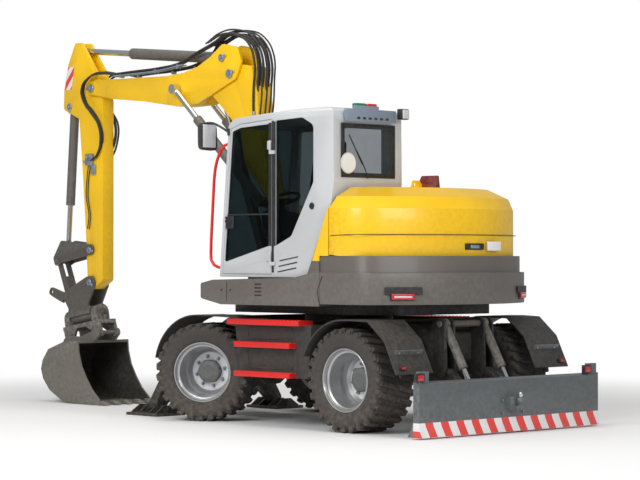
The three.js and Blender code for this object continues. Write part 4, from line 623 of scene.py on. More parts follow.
# %%
def own_copy(original, placing=Matrix()):
    twin = original.copy()
    twin.data = original.data.copy()
    twin.data.transform(placing)
    bpy.context.scene.collection.objects.link(twin)
    return twin


def copies(original, places):
    made = [own_copy(original, placing) for placing in places]
    bpy.data.objects.remove(original)
    return joined(made)


def moved(*place):
    return Matrix.Translation(place)


def turned(degrees, axis):
    return Matrix.Rotation(math.radians(degrees), 4, axis)


# %% [markdown]
# ## Wheels
# Each tyre is a round carcass with a bulging side wall and a ring of chunky lugs, set at a
# slant and in turn left and right of the middle. The wheel is a deep pressed rim with bright
# lips, a pale disc set far in, eight nuts and a grey hub cap. One of each is made at the
# origin, lying on the Y axis, and copied to the four places.

# %%
TYRE_RADIUS = nodes["rear_left_tyre"].dimensions.z / 2
TYRE_HALF = nodes["rear_left_tyre"].dimensions.y / 2
RIM_RADIUS = nodes["rear_left_rim"].dimensions.z / 2
LUG_HEIGHT = 0.021
LUGS = 27
LUG_SLANT = -14
ALONG_Y = (0, 1, 0)
carcass = turned_piece([
    (RIM_RADIUS - 0.022, -0.19), (RIM_RADIUS, -0.205), (RIM_RADIUS + 0.012, -0.222),
    (RIM_RADIUS + 0.03, -0.229), (RIM_RADIUS + 0.07, -TYRE_HALF + 0.003),
    (RIM_RADIUS + 0.1, -TYRE_HALF), (TYRE_RADIUS - 0.056, -TYRE_HALF + 0.008),
    (TYRE_RADIUS - 0.034, -TYRE_HALF + 0.03), (TYRE_RADIUS - LUG_HEIGHT - 0.002, -0.17),
    (TYRE_RADIUS - LUG_HEIGHT, -0.06), (TYRE_RADIUS - LUG_HEIGHT, 0.06),
    (TYRE_RADIUS - LUG_HEIGHT - 0.002, 0.17), (TYRE_RADIUS - 0.034, TYRE_HALF - 0.03),
    (TYRE_RADIUS - 0.056, TYRE_HALF - 0.008), (RIM_RADIUS + 0.1, TYRE_HALF),
    (RIM_RADIUS + 0.07, TYRE_HALF - 0.003), (RIM_RADIUS + 0.03, 0.229),
    (RIM_RADIUS + 0.012, 0.222), (RIM_RADIUS, 0.205), (RIM_RADIUS - 0.022, 0.19),
    (RIM_RADIUS - 0.022, -0.19)], sides=72, along=ALONG_Y, hollow=True)
lug = box_piece((-0.024, 0.022, TYRE_RADIUS - LUG_HEIGHT - 0.02),
                (0.024, TYRE_HALF - 0.018, TYRE_RADIUS - 0.001), bevel=0.006, segments=1,
                turn=LUG_SLANT)
shoulder = box_piece((-0.021, TYRE_HALF - 0.07, TYRE_RADIUS - 0.085),
                     (0.03, TYRE_HALF - 0.004, TYRE_RADIUS - 0.012), bevel=0.008, segments=1)
shoulder.data.transform(moved(0.035, 0, 0))
lug = joined([lug, shoulder])
turns = []
for step in range(LUGS):
    turns.append(turned(360 * step / LUGS, "Y"))
    turns.append(turned(360 * (step + 0.5) / LUGS, "Y") @ turned(180, "Z"))
tyre_model = joined([carcass, copies(lug, turns)])
print("tyre model:", len(tyre_model.data.polygons), "faces")

# %%
RIM_HALF = 0.215
rim_model = turned_piece([
    (0.2, -0.085), (RIM_RADIUS - 0.062, -0.11), (RIM_RADIUS - 0.05, -RIM_HALF + 0.03),
    (RIM_RADIUS - 0.03, -RIM_HALF), (RIM_RADIUS, -RIM_HALF), (RIM_RADIUS, -RIM_HALF + 0.012),
    (RIM_RADIUS - 0.024, -RIM_HALF + 0.026), (RIM_RADIUS - 0.024, RIM_HALF - 0.026),
    (RIM_RADIUS, RIM_HALF - 0.012), (RIM_RADIUS, RIM_HALF - 0.003),
    (RIM_RADIUS - 0.004, RIM_HALF), (RIM_RADIUS - 0.012, RIM_HALF),
    (RIM_RADIUS - 0.019, RIM_HALF - 0.012), (RIM_RADIUS - 0.025, RIM_HALF - 0.04),
    (RIM_RADIUS - 0.033, RIM_HALF - 0.046), (RIM_RADIUS - 0.042, RIM_HALF - 0.05),
    (RIM_RADIUS - 0.046, RIM_HALF - 0.07), (RIM_RADIUS - 0.05, 0.085),
    (RIM_RADIUS - 0.062, 0.06), (RIM_RADIUS - 0.07, 0.02), (RIM_RADIUS - 0.073, -0.03),
    (0.19, -0.06), (0.185, -0.06), (0.2, -0.085)], sides=72, along=ALONG_Y, hollow=True)
disc_model = turned_piece([
    (0.192, -0.078), (0.192, -0.058), (0.186, -0.05), (0.16, -0.047), (0.108, -0.047),
    (0.1, -0.06)], sides=64, along=ALONG_Y)
nut = joined([
    turned_piece([(0.019, -0.048), (0.019, -0.042), (0.015, -0.042)], sides=16, along=ALONG_Y),
    turned_piece([(0.0145, -0.044), (0.0145, -0.022), (0.012, -0.019)], sides=6, along=ALONG_Y),
    turned_piece([(0.0075, -0.024), (0.0075, -0.01), (0.006, -0.008)], sides=10,
                 along=ALONG_Y)])
NUT_CIRCLE, NUTS, FIRST_NUT = 0.146, 8, 12
nuts_model = copies(nut, [turned(FIRST_NUT + 360 / NUTS * step, "Y") @ moved(NUT_CIRCLE, 0, 0)
                          for step in range(NUTS)])
knob = box_piece((0.096, -0.045, -0.012), (0.118, 0.012, 0.012), bevel=0.005, segments=2)
hub_model = joined([
    turned_piece([(0.112, -0.05), (0.112, 0.008), (0.108, 0.018), (0.1, 0.024), (0.06, 0.03),
                  (0.055, 0.027), (0.02, 0.027)], sides=48, along=ALONG_Y),
    copies(knob, [turned(60 * step, "Y") for step in range(6)])])
print("rim model:", len(rim_model.data.polygons), "faces")

# %% [markdown]
# The front wheels stand turned to the left on their kingpins, so their copies turn too. A
# right wheel is a left one turned half round, which keeps its disc facing outwards.

# %%
STEER_ANGLE = 30
WHEELS = {"rear_left": 0, "rear_right": 180, "front_left": STEER_ANGLE,
          "front_right": 180 + STEER_ANGLE}
for name, heading in WHEELS.items():
    low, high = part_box(f"{name}_tyre")
    stand = moved(*(low + high) / 2) @ turned(heading, "Z")
    for model, part, material in (
            (tyre_model, "tyre_with_tread", rubber), (rim_model, "wheel_rim", rim_silver),
            (disc_model, "wheel_disc", disc_white), (nuts_model, "wheel_nuts", zinc),
            (hub_model, "hub_cap", hub_grey)):
        twin = keep(own_copy(model, stand), f"{name}_{part}", f"{name}_wheel", material)
        if part == "tyre_with_tread":
            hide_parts(f"{name}_tyre")
        if part == "wheel_rim":
            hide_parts(f"{name}_rim")
for model in (tyre_model, rim_model, disc_model, nuts_model, hub_model):
    bpy.data.objects.remove(model)
print("four wheels fitted")

# %% [markdown]
# ## Rounded sheet metal and castings
# CAD leaves every edge knife sharp, which no pressed panel or casting is. Each such piece is
# copied, its loose triangles are merged, flat areas are dissolved into whole faces, and a
# small bevel rounds every edge sharper than SHARP_ANGLE, so that edges catch the light. Big
# pressed panels get a wide bevel, and small castings a narrow one.

# %%
SHARP_ANGLE = 32
MERGE_GAP = 0.0002
FLAT_ANGLE = 1.5


def rounded_copy(name, width):
    source = nodes[name]
    twin = own_copy(source)
    body = source["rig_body"]
    for key in list(twin.keys()):
        if key.startswith("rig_"):
            del twin[key]
    twin.parent = None
    only(twin)
    bpy.ops.object.mode_set(mode="EDIT")
    bpy.ops.mesh.select_mode(type="VERT")
    bpy.ops.mesh.select_all(action="SELECT")
    bpy.ops.mesh.customdata_custom_splitnormals_clear()
    bpy.ops.mesh.remove_doubles(threshold=MERGE_GAP)
    bpy.ops.mesh.dissolve_limited(angle_limit=math.radians(FLAT_ANGLE))
    bpy.ops.object.mode_set(mode="OBJECT")
    rounding = twin.modifiers.new("rounding", "BEVEL")
    rounding.limit_method = "ANGLE"
    rounding.angle_limit = math.radians(SHARP_ANGLE)
    rounding.width = width
    rounding.segments = 2
    bpy.ops.object.modifier_apply(modifier="rounding")
    keep(twin, name + "_rounded", body, None, smooth=SHARP_ANGLE)
    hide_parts(name)
    return twin


ROUNDED = {
    0.018: "engine_hood counterweight",
    0.010: "left_skirt right_housing cab_frame cab_door",
    0.005: "lower_boom upper_boom stick blade bucket front_fenders rear_fenders coupler "
           "rocker link tilt_bracket",
    0.004: "left_steps right_steps chassis_frame upper_frame left_stabiliser_leg "
           "right_stabiliser_leg blade_arms blade_cylinder_barrels adjust_barrels arm_barrel "
           "lift_barrel bucket_cylinder_barrel",
}
panels = {}
for width, names in ROUNDED.items():
    for name in names.split():
        panels[name] = rounded_copy(name, width)
print("rounded", len(panels), "pieces,",
      sum(len(panel.data.polygons) for panel in panels.values()), "faces")

# %% [markdown]
# ## Two colours on one piece
# The treads and the grab rail are red so that a driver finds them with hand and foot. The
# light bar over the rear window is a bluish grey, and the small corner panel beside the cab is
# yellow like the hood. Faces are picked by their place, and a test may use their normal too.

# %%
def paint_region(piece, material, test):
    piece.data.materials.append(material)
    index = len(piece.data.materials) - 1
    chosen = [face for face in piece.data.polygons if test(face.center, face.normal)]
    for face in chosen:
        face.material_index = index
    print(piece.name, "has", len(chosen), "faces in", material.name)


TREADS = ((0.465, 0.515), (0.745, 0.80), (0.955, 1.01))
for side in ("left", "right"):
    paint_region(panels[f"{side}_steps"], red_paint, lambda spot, _: abs(spot.y) > 1.055 and any(
        low < spot.z < high for low, high in TREADS))
PILLAR_FOOT, PILLAR_LEAN, CAB_FLOOR = SLEW_X + 0.722, 0.0874, 1.377
paint_region(panels["cab_frame"], red_paint, lambda spot, _: spot.y > 0.98 and (
    spot.x > PILLAR_FOOT - PILLAR_LEAN * (spot.z - CAB_FLOOR)))
paint_region(panels["cab_frame"], bar_grey,
             lambda spot, _: spot.x < SLEW_X - 0.876 and spot.z > 2.82)
CORNER_PANEL_FOOT = 1.56
only(panels["left_skirt"])
bpy.ops.object.mode_set(mode="EDIT")
bpy.ops.mesh.select_all(action="SELECT")
bpy.ops.mesh.bisect(plane_co=(0, 0, CORNER_PANEL_FOOT), plane_no=(0, 0, 1))
bpy.ops.object.mode_set(mode="OBJECT")
paint_region(panels["left_skirt"], yellow, lambda spot, _: spot.z > CORNER_PANEL_FOOT)

# %% [markdown]
# The inside of the bucket is much darker than its outside. A face belongs to the inside if it
# looks towards the middle of the hollow.

# %%
HOLLOW = at(3.95, 0, 0.34)
HOLLOW_HALF, LIP_X, MOUTH_TOP = 0.33, SLEW_X + 3.52, 0.672


def looks_inward(spot, normal):
    if abs(spot.y) > HOLLOW_HALF + 0.015 or spot.z > MOUTH_TOP or spot.x < LIP_X:
        return False
    middle = Vector((HOLLOW.x, 0 if abs(spot.y) > HOLLOW_HALF else spot.y, HOLLOW.z))
    return normal.dot(middle - spot) > 0.02


paint_region(panels["bucket"], dark_bucket_hollow, looks_inward)


# %% [markdown]
# Each tread has a saw-toothed edge so that a muddy boot doesn't slip.

# %%
TREAD_EDGE, TOOTH_PITCH = 1.150, 0.05
TREAD_ROWS = ((-0.53, 0.49, 1.003), (-0.41, 0.39, 0.79), (-0.41, 0.39, 0.51))
SIDES = ((1, "left"), (-1, "right"))


def tread_grips(side, low_x, high_x, top):
    tooth = box_piece((-0.009, -0.035, -0.006), (0.009, 0.001, 0.007), bevel=0.003, segments=1)
    count = int((high_x - low_x) / TOOTH_PITCH)
    return copies(tooth, [moved(*at(low_x + TOOTH_PITCH * (n + 0.5), side * TREAD_EDGE, top))
                          for n in range(count)])


for side, name in SIDES:
    rows = [tread_grips(side, *row) for row in TREAD_ROWS]
    keep(joined(rows), f"{name}_tread_grips", "chassis", red_paint)


# %% [markdown]
# The step boxes are moulded with a raised rib round each field between two treads, which keeps
# the thin wall stiff.

# %%
STEP_FACE, RIB_BEND, RIB_RADIUS = 1.060, 0.03, 0.006
for side, name in SIDES:
    ribs = []
    for low_z, high_z in ((0.545, 0.725), (0.825, 0.932)):
        field = ((0, low_z), (0.28, low_z), (0.30, high_z), (-0.33, high_z), (-0.33, low_z),
                 (0, low_z))
        corners = [at(x, side * STEP_FACE, z) for x, z in field]
        ribs.append(run_of(rounded_path(corners, RIB_BEND), RIB_RADIUS, smooth=False))
    keep(joined(ribs), f"{name}_step_ribs", "chassis", fender_black)


# %% [markdown]
# ## Pin heads
# Every pivot of the boom is a hardened pin with a zinc-plated round head, a locking tab and
# one bolt. The heads stand a little proud of the steel on both sides.

# %%
def pin_head(radius):
    head = turned_piece([(radius, 0), (radius, 0.010), (radius - 0.004, 0.014),
                         (radius * 0.55, 0.014), (radius * 0.5, 0.011), (0.004, 0.011)], sides=28,
                        along=ALONG_Y)
    bolt = turned_piece([(radius * 0.3, 0.010), (radius * 0.3, 0.022), (radius * 0.24, 0.025)],
                        sides=6, along=ALONG_Y)
    tab = box_piece((radius * 0.5, 0, -0.014), (radius + 0.032, 0.008, 0.014), bevel=0.003,
                    segments=1)
    return joined([head, bolt, tab])


# name: (joint it lies on, body it rides on, half the distance between heads, radius, tab angle)
PINS = {
    "boom_elbow_pins": ("upper_boom", "upper_boom", 0.149, 0.046, 200),
    "boom_foot_pins": ("lower_boom", "upper", 0.128, 0.05, 30),
    "stick_pivot_pins": ("stick", "upper_boom", 0.112, 0.046, 0),
    "bucket_hinge_pins": ("bucket_curl", "coupler", 0.114, 0.036, 150),
    "rocker_pins": ("rocker_swing", "rocker", 0.108, 0.036, 170),
    "arm_cylinder_foot_pins": ("arm_barrel_swing", "upper_boom", 0.149, 0.04, 200),
    "bucket_cylinder_pins": ("bucket_barrel_swing", "stick", 0.076, 0.04, 90),
    "lift_cylinder_foot_pins": ("lift_barrel_swing", "upper", 0.1, 0.045, 90),
}
for name, (joint, body, half, radius, tab_angle) in PINS.items():
    x, _, z = joints[joint]["pos_m"]
    heads = copies(pin_head(radius), [
        moved(x, half, z) @ turned(tab_angle, "Y"),
        moved(x, -half, z) @ turned(tab_angle, "Y") @ turned(180, "Z")])
    keep(heads, name, body, zinc)
print(len(PINS), "pairs of pin heads")

# %% [markdown]
# ## Cab details
# The door and the side window are split by a black rubber seal between two strips of black
# trim. The door has a sunk handle and a bar between its two panes. Low behind the door are
# three vent slots, drawn as black bars that are painted shade in the slots, and a round cap
# covers the filler in the sloping rear post.

# %%
FACE = 1.052       # the cab's outer side, from the middle of the machine


def cab_box(x0, x1, y0, y1, z0, z1, bevel=0.004, segments=2):
    return box_piece(at(x0, y0, z0), at(x1, y1, z1), bevel, segments)


for name, body, strip in (
        ("door_seal", "upper", (-0.062, -0.036, FACE - 0.006, FACE + 0.006, 1.45, 2.88)),
        ("door_pane_bar", "door", (0.0, 0.635, FACE - 0.012, FACE - 0.002, 1.994, 2.008, 0.003)),
        ("door_edge_trim", "door", (-0.029, 0.012, FACE, FACE + 0.002, 1.70, 2.862, 0.001)),
        ("pillar_trim", "upper", (-0.086, -0.036, FACE, FACE + 0.002, 1.70, 2.872, 0.001))):
    keep(cab_box(*strip), name, body, black_trim_and_painted_shade)
handle = joined([
    cab_box(0.50, 0.62, FACE + 0.001, FACE + 0.014, 1.87, 1.985, 0.01, 3),
    cab_box(0.515, 0.605, FACE + 0.012, FACE + 0.030, 1.925, 1.955, 0.008, 3),
    turned_piece([(0.013, 0), (0.013, 0.004), (0.009, 0.006)], sides=20,
                 centre=at(0.56, FACE + 0.013, 1.893), along=ALONG_Y)])
keep(handle, "door_handle", "door", black_trim_and_painted_shade)
# Each vent slot is a black bar: painted shade in the slot.
vent_slot = run_of([(0.125, 0, -0.02), (-0.125, 0, 0.018)], 0.007, smooth=False)
vent_rows = [moved(*at(-0.268 + 0.012 * row, FACE - 0.002, 1.58 - 0.052 * row))
             for row in range(3)]
keep(copies(vent_slot, vent_rows), "cab_vent_slots", "upper", black_trim_and_painted_shade)
keep(turned_piece([(0.032, -0.004), (0.032, 0.006), (0.026, 0.010), (0.010, 0.008)], sides=32,
                  centre=at(-0.581, FACE, 2.068), along=ALONG_Y), "filler_cap", "upper",
     black_trim_and_painted_shade)
# The mirror's face is painted pale grey, a painted reflection of the white surroundings.
keep(box_piece(at(0.808, 1.012, 2.655), at(0.8145, 1.178, 2.878), 0.012, 3), "mirror_face",
     "upper", clear_lens_and_painted_reflection)

# %% [markdown]
# A wiper parks on the rear pane. It is an arm, a rubber strip and the cap over its pivot.

# %%
BACKWARDS = (-1, 0, 0)
pane_low, pane_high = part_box("rear_glass")
REAR_FACE = pane_low.x
wiper_pivot = Vector((REAR_FACE - 0.012, 0.62, 2.345))
wiper_tip = Vector((REAR_FACE - 0.014, 0.80, 2.62))
wiper_bow = wiper_pivot.lerp(wiper_tip, 0.5) + Vector(BACKWARDS) * 0.012
strip_half = (wiper_tip - wiper_pivot).normalized() * 0.2
wiper = joined([
    run_of(rounded_path([wiper_pivot, wiper_bow, wiper_tip], 0.05), 0.005, smooth=False),
    run_of([wiper_tip - strip_half, wiper_tip + strip_half * 0.6], 0.006, smooth=False),
    turned_piece([(0.018, -0.01), (0.018, 0.008), (0.012, 0.014)], sides=20, centre=wiper_pivot,
                 along=BACKWARDS)])
keep(wiper, "rear_wiper", "upper", black_trim_and_painted_shade)

# %% [markdown]
# A wide black border is printed round the rear pane, and a round sign is fixed to its lower
# corner. The sign is blank here.

# %%
EDGE, INNER_EDGE = 0.045, 0.07
SIGN_PLACE = (REAR_FACE - 0.007, 0.872, 2.462)


def border_strip(lift, y0, y1, z0, z1):
    face = REAR_FACE - lift
    return box_piece((face, y0, z0), (face + 0.004, y1, z1), 0.002)


border = joined([
    border_strip(0.006, pane_low.y, pane_high.y, pane_low.z, pane_low.z + EDGE),
    border_strip(0.006, pane_low.y, pane_high.y, pane_high.z - EDGE, pane_high.z),
    border_strip(0.0065, pane_low.y, pane_low.y + INNER_EDGE, pane_low.z, pane_high.z),
    border_strip(0.0065, pane_high.y - EDGE, pane_high.y, pane_low.z, pane_high.z)])
keep(border, "rear_window_border", "upper", black_trim_and_painted_shade)
sign = turned_piece([(0.098, 0), (0.098, 0.004), (0.095, 0.006), (0.085, 0.006)], sides=48,
                    centre=SIGN_PLACE, along=BACKWARDS)
keep(sign, "round_sign", "upper", plate_white)
ring = turned_piece([(0.090, 0.0061), (0.093, 0.0075), (0.097, 0.0061), (0.090, 0.0061)], sides=48,
                    centre=SIGN_PLACE, along=BACKWARDS, hollow=True)
keep(ring, "round_sign_rim", "upper", cab_grey)

# %% [markdown]
# ## Lamps
# A lamp is a black housing with a lens that stands a little proud in front of it. The light
# bar sits on the rear edge of the roof with the beacon on top of it, and a work lamp hangs at
# its right end.

# %%
LENS_MARGIN = 0.008


def lamp(name, body, low, high, depth, lens_material):
    low, high = Vector(low), Vector(high)
    keep(box_piece(low, high), f"{name}_housing", body, black_trim_and_painted_shade)
    lens = box_piece((low.x - depth, low.y + LENS_MARGIN, low.z + LENS_MARGIN),
                     (low.x, high.y - LENS_MARGIN, high.z - LENS_MARGIN), depth * 0.45, 3)
    keep(lens, f"{name}_lens", body, lens_material)


cab_low, cab_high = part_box("cab_frame")
BAR_FACE, BAR_TOP = cab_low.x, cab_high.z
# The six slots in the light bar's face are black bars: painted shade in the slots.
bar_slot = box_piece((-0.003, -0.018, -0.010), (0.003, 0.018, 0.010), 0.002, 1)
keep(copies(bar_slot, [moved(BAR_FACE - 0.001, 0.42 + 0.075 * n, 2.878) for n in range(6)]),
     "light_bar_slots", "upper", black_trim_and_painted_shade)
for word, y0, y1, material in (("right", 0.545, 0.672, lamp_red),
                               ("left", 0.69, 0.82, lamp_green)):
    keep(box_piece((BAR_FACE + 0.004, y0, BAR_TOP - 0.012), (BAR_FACE + 0.066, y1, BAR_TOP + 0.024),
                   0.012, 4), f"beacon_lens_{word}", "upper", material)
lamp("rear_work_lamp", "upper", (BAR_FACE - 0.045, 0.17, 2.885), (BAR_FACE + 0.02, 0.27, 2.985),
     0.012, clear_lens_and_painted_reflection)

# %% [markdown]
# A tail lamp lies on each side of the round tail, turned with its curve. It has a wide air slot
# over it, drawn as a thin black plate that is painted shade in the slot, and a pale reflector
# across its lens. Each rear fender and each end of the blade carries a small red lamp too.

# %%
TAIL_RADIUS, TAIL_LAMP_Y, TAIL_LAMP_Z = 1.722, 0.815, 1.235
# label: (low corner, high corner, bevel, segments, finish), as seen from the lamp's own middle
TAIL_LAMP = {
    # the recess is a thin black plate: painted shade in the air slot over the lamp
    "recess": ((-0.0035, -0.19, 0.018), (0.004, 0.17, 0.088), 0.003, 1, black_trim_and_painted_shade),
    "housing": ((-0.010, -0.115, -0.034), (0.02, 0.115, 0.034), 0.008, 2, black_trim_and_painted_shade),
    "lens": ((-0.022, -0.108, -0.027), (-0.008, 0.108, 0.027), 0.006, 3, lamp_red),
    "reflector": ((-0.0245, -0.085, -0.008), (-0.0215, 0.085, 0.008), 0.002, 2, clear_lens_and_painted_reflection),
}
tail_angle = math.asin(TAIL_LAMP_Y / TAIL_RADIUS)
for side, word in SIDES:
    stand = moved(*at(-TAIL_RADIUS * math.cos(tail_angle), side * TAIL_LAMP_Y, TAIL_LAMP_Z)) @ (
        Matrix.Rotation(-side * tail_angle, 4, "Z"))
    for label, (low, high, bevel, segments, material) in TAIL_LAMP.items():
        bit = box_piece(low, high, bevel, segments)
        bit.data.transform(stand)
        keep(bit, f"{word}_tail_lamp_{label}", "upper", material)
fender_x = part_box("rear_fenders")[0].x
for word, low_y in (("left", 1.05), ("right", -1.12)):
    lamp(f"{word}_fender_lamp", "chassis", (fender_x - 0.004, low_y, 0.592),
         (fender_x + 0.03, low_y + 0.07, 0.632), 0.006, lamp_red)
for word, y in (("left", 1.205), ("right", -1.075)):
    spot = at(-2.10, y, 0.535)
    keep(box_piece(spot - Vector((0.012, 0.055, 0.035)), spot + Vector((0.02, 0.055, 0.045)),
                   0.006, 2), f"{word}_blade_lamp_housing", "blade_unit", black_trim_and_painted_shade)
    keep(box_piece(spot - Vector((0.018, 0.035, 0.02)), spot + Vector((-0.010, 0.035, 0.03)),
                   0.004, 2), f"{word}_blade_lamp_lens", "blade_unit", lamp_red)

# %% [markdown]
# ## Hood and tail
# The hood has a pressed groove all round its side, a black plate with a latch at the back, and
# a plate for a number beside it, left blank here. The groove is drawn as a thin black tube, which
# is painted shade in the groove, and it follows the hood's round tail.

# %%
HOOD_RADIUS, GROOVE_Z, GROOVE_STEPS, GROOVE_HALF = 1.6165, 1.80, 24, 1.03
near_side = [(-0.87, 1.0945, 1.792), (-1.16, 1.0945, GROOVE_Z), (-1.215, 1.075, GROOVE_Z)]
round_tail = []
for step in range(GROOVE_STEPS + 1):
    across = GROOVE_HALF - 2 * GROOVE_HALF * step / GROOVE_STEPS
    round_tail.append((-math.sqrt(HOOD_RADIUS ** 2 - across ** 2), across, GROOVE_Z))
far_side = [(x, -y, z) for x, y, z in reversed(near_side)]
groove = [at(*point) for point in near_side + round_tail + far_side]
# The groove's black tube is painted shade where the pressed groove lies.
keep(run_of(groove, 0.004, smooth=False, sides=1), "hood_groove", "hood", black_trim_and_painted_shade)
for name, low, high, bevel, material in (
        ("hood_latch_plate", (-1.622, -0.17, 1.662), (-1.60, 0.08, 1.722), 0.006, black_trim_and_painted_shade),
        ("hood_latch", (-1.626, -0.10, 1.675), (-1.615, 0.02, 1.708), 0.005, zinc),
        ("blank_plate", (-1.6235, -0.40, 1.655), (-1.600, -0.22, 1.74), 0.004, plate_white)):
    keep(box_piece(at(*low), at(*high), bevel), name, "hood", material)

# %% [markdown]
# The maroon lifting eye on top is a thick plate cut to a fin. A box becomes the fin when its two
# upper edges are moved towards each other.

# %%
fin = box_piece(at(-1.20, -0.026, 2.20), at(-0.90, 0.026, 2.36), 0.004)
FIN_MIDDLE, TOP_EDGES = SLEW_X - 1.05, 2.30
for corner in fin.data.vertices:
    if corner.co.z > TOP_EDGES:
        corner.co.x += 0.02 if corner.co.x < FIN_MIDDLE else -0.10
keep(fin, "lifting_eye", "hood", maroon)

# %% [markdown]
# ## Side body
# The lower body is split into panels by dark joints. Two bolts hold the front panel, and a
# column of four slots is cut into the one behind it. Each slot is a black bar, painted shade
# in the slot.

# %%
SIDE = 1.1
seams = joined([
    run_of([at(0.555, SIDE, 1.17), at(0.555, SIDE, 1.36)], 0.0035, smooth=False, sides=1),
    run_of([at(-0.735, SIDE, 1.145), at(-0.70, SIDE, 1.28), at(-0.765, SIDE, 1.42)], 0.0045,
           smooth=False, sides=1)])
keep(seams, "side_panel_joints", "upper", black_trim_and_painted_shade)
# Each slot is a black bar: painted shade in the slot.
slot_bar = box_piece(at(0.06, SIDE - 0.006, 1.275), at(0.16, SIDE + 0.002, 1.292), 0.003, 1)
keep(copies(slot_bar, [moved(0, 0, rise) for rise in (-0.05, -0.015, 0.02, 0.055)]),
     "side_grab_slots", "upper", black_trim_and_painted_shade)
bolt_head = turned_piece([(0.011, -0.002), (0.011, 0.002), (0.006, 0.0005)], sides=16,
                         along=ALONG_Y)
keep(copies(bolt_head, [moved(*at(x, SIDE, 1.28)) for x in (0.50, 0.63)]), "side_bolt_heads",
     "upper", black_trim_and_painted_shade)

# %% [markdown]
# ## Hazard plate on the stick
# A striped plate in the boom's own two warning colours lies on the top end of the stick, where
# a passing driver sees it first. It leans with the stick's edge.

# %%
PLATE_TOP, PLATE_LEAN = 3.705, 0.22
plate = box_piece((3.035, 0.0752, 3.455), (3.15, 0.0775, PLATE_TOP), 0.002, 1)
for corner in plate.data.vertices:
    corner.co.x += PLATE_LEAN * (PLATE_TOP - corner.co.z)
keep(plate, "stick_hazard_plate", "stick", sticker)

# %% [markdown]
# ## Blade hitch
# A trailer is coupled to a ball on a bracket in the middle of the blade. Four bolts hold it.

# %%
ball = turned_piece([(0.010, 0), (0.016, 0.002), (0.016, 0.02), (0.012, 0.028), (0.020, 0.036),
                     (0.0245, 0.05), (0.020, 0.066), (0.010, 0.073)], sides=28,
                    centre=(blade_low.x + 0.028, 0.0, 0.30), along=(0, 0, 1))
keep(ball, "hitch_ball", "blade_unit", chrome)
bolt = turned_piece([(0.014, 0), (0.014, 0.008), (0.011, 0.011)], sides=6)
bolt_spots = [moved(*at(-2.118, y, z)) @ turned(-90, "Y")
              for y in (-0.14, 0.14) for z in (0.19, 0.30)]
keep(copies(bolt, bolt_spots), "hitch_bolts", "blade_unit", hub_grey)

# %% [markdown]
# ## Fender plates
# Each rear fender ends in a moulded flap with a steel strip across it, held by two bolts, and a
# raised panel below.

# %%
FLAP = moved(*at(-1.707, 0, 0.74)) @ turned(-28.5, "Y")
for side, word in SIDES:
    y0, y1 = sorted((side * 0.76, side * 1.12))
    strip = box_piece((-0.006, y0, -0.038), (0.004, y1, 0.030), 0.004)
    rivets = [turned_piece([(0.010, 0), (0.010, 0.004), (0.006, 0.007)], sides=16,
                           centre=(-0.006, y, 0), along=BACKWARDS)
              for y in (y0 + 0.06, y1 - 0.06)]
    panel = box_piece((-0.004, y0 + 0.05, -0.16), (0.004, y1 - 0.05, -0.055), 0.004)
    for bit in (strip, panel, *rivets):
        bit.data.transform(FLAP)
    keep(strip, f"{word}_fender_strip", "chassis", blade_grey)
    keep(panel, f"{word}_fender_panel", "chassis", fender_black)
    keep(joined(rivets), f"{word}_fender_bolts", "chassis", zinc)

# %% [markdown]
# ## Hydraulic hoses
# Hoses climb from the house behind the cab, lie over the boom's elbow in a bundle, run along
# the upper boom and hang in loops across the stick's pivot. A hose that crosses a pivot is
# made where it lies and rides on neither body.

# %%
HOSE = 0.0125
SAG = 0.012        # how far one hose strays from its neighbours


def hose_row(name, spine, count, spread, radius=HOSE, rise=0.0, material=hose_black, seed=0):
    made = []
    for n in range(count):
        share = n / (count - 1) - 0.5
        wave = SAG * math.sin(2.1 * n + seed)
        points = [at(x + wave * (0.5 if index % 2 else 1), y + share * spread,
                     z + rise * abs(share) + 0.8 * wave)
                  for index, (x, y, z) in enumerate(spine)]
        made.append(run_of(points, radius, steps=5))
    hoses = apply_place(joined(made))
    hoses.name = name
    hoses.data.name = name
    hoses.data.materials.clear()
    hoses.data.materials.append(material)
    bpy.ops.object.shade_smooth_by_angle(angle=math.radians(40))
    return hoses


def riding_hoses(name, body, *args, **values):
    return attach(hose_row(name, *args, **values), body)


def bending_hoses(name, body_a, body_b, start, end, *args, **values):
    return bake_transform(hose_row(name, *args, **values))


bending_hoses(
    "hoses_over_elbow", "lower_boom", "upper_boom", at(1.30, 0, 3.30), at(1.62, 0, 3.75),
    [(1.24, 0.0, 2.98), (1.25, 0.0, 3.10), (1.245, 0.0, 3.30), (1.23, 0.0, 3.55),
     (1.32, 0.0, 3.76), (1.50, 0.0, 3.855), (1.72, 0.0, 3.88), (1.95, 0.0, 3.81)],
    7, 0.24, seed=0.4)
bending_hoses(
    "hoses_outer_loop", "lower_boom", "upper_boom", at(1.22, 0, 3.30), at(1.60, 0, 3.80),
    [(1.19, 0.0, 2.98), (1.17, 0.0, 3.12), (1.15, 0.0, 3.35), (1.16, 0.0, 3.63),
     (1.30, 0.0, 3.83), (1.53, 0.0, 3.91), (1.78, 0.0, 3.90), (2.02, 0.0, 3.80)],
    4, 0.17, radius=0.009, seed=1.7)
riding_hoses(
    "steel_pipes_along_boom", "upper_boom",
    [(2.30, 0.132, 3.60), (2.72, 0.135, 3.56), (3.10, 0.136, 3.55), (3.46, 0.136, 3.545)], 2, 0.03,
    radius=0.008, material=zinc)
for side, name, top in ((1, "hoses_along_boom", 3.83), (-1, "hoses_along_boom_far", 3.82)):
    riding_hoses(
        name, "upper_boom",
        [(1.90, 0.0, top), (2.10, 0.10 * side, 3.72), (2.35, 0.115 * side, 3.625),
         (2.72, 0.118 * side, 3.585), (3.10, 0.12 * side, 3.575), (3.44, 0.122 * side, 3.565)],
        4, 0.05, radius=0.0105, rise=0.02)
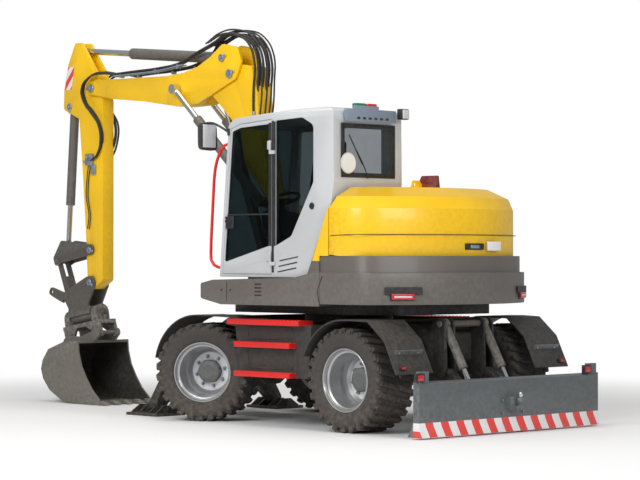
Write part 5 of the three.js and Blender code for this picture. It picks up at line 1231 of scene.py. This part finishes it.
for side, word in ((1, "near"), (-1, "far")):
    y = 0.135 * side
    bending_hoses(
        f"hoses_to_stick_{word}", "upper_boom", "stick", at(3.90, 0, 3.48), at(3.80, 0, 3.15),
        [(3.42, 0.122 * side, 3.565), (3.68, y, 3.60), (3.90, y, 3.57), (4.03, y, 3.45),
         (3.99, y, 3.30), (3.86, y, 3.18), (3.76, 0.12 * side, 3.05), (3.74, 0.10 * side, 2.88),
         (3.82, 0.09 * side, 2.72), (3.93, 0.085 * side, 2.66)],
        3, 0.04, radius=0.0115, seed=side)

# %% [markdown]
# Zinc-plated fittings join the hoses to the pipes, clamps hold them along the boom, and the
# valve block on the stick shares the oil out between the tool's hoses.

# %%
fittings = turned_piece([(0.017, -0.05), (0.017, -0.03), (0.020, -0.03), (0.020, -0.01),
                         (0.015, -0.008), (0.015, 0.045), (0.011, 0.05)], sides=12)
keep(copies(fittings, [moved(*at(1.245, -0.12 + 0.04 * n, 3.02)) for n in range(7)]),
     "hose_fittings", "lower_boom", zinc)
clamp = box_piece((-0.014, -0.028, -0.03), (0.014, 0.028, 0.018), 0.004)
clamp_spots = [moved(*at(x, side * 0.122, z - 0.01)) for side in (-1, 1)
               for x, z in ((2.42, 3.612), (2.78, 3.585), (3.36, 3.568))]
keep(copies(clamp, clamp_spots), "hose_clamps", "upper_boom", zinc)
union = [(0.014, 0), (0.014, 0.03), (0.018, 0.03), (0.018, 0.05), (0.013, 0.054)]
unions = [turned_piece(union, sides=6, centre=at(x, 0.108, z), along=ALONG_Y)
          for x, z in ((3.94, 2.69), (3.98, 2.64))]
block = joined([box_piece(at(3.90, 0.076, 2.60), at(4.02, 0.112, 2.73), 0.006),
                box_piece(at(3.86, 0.076, 2.50), at(3.93, 0.104, 2.61), 0.005), *unions])
keep(block, "valve_block", "stick", zinc)
riding_hoses(
    "hoses_down_stick", "stick", [(3.95, 0.095, 2.62), (3.99, 0.09, 2.45), (4.0, 0.088, 2.25),
                                  (3.96, 0.087, 2.05), (3.98, 0.085, 1.90)], 2, 0.02, radius=0.006)
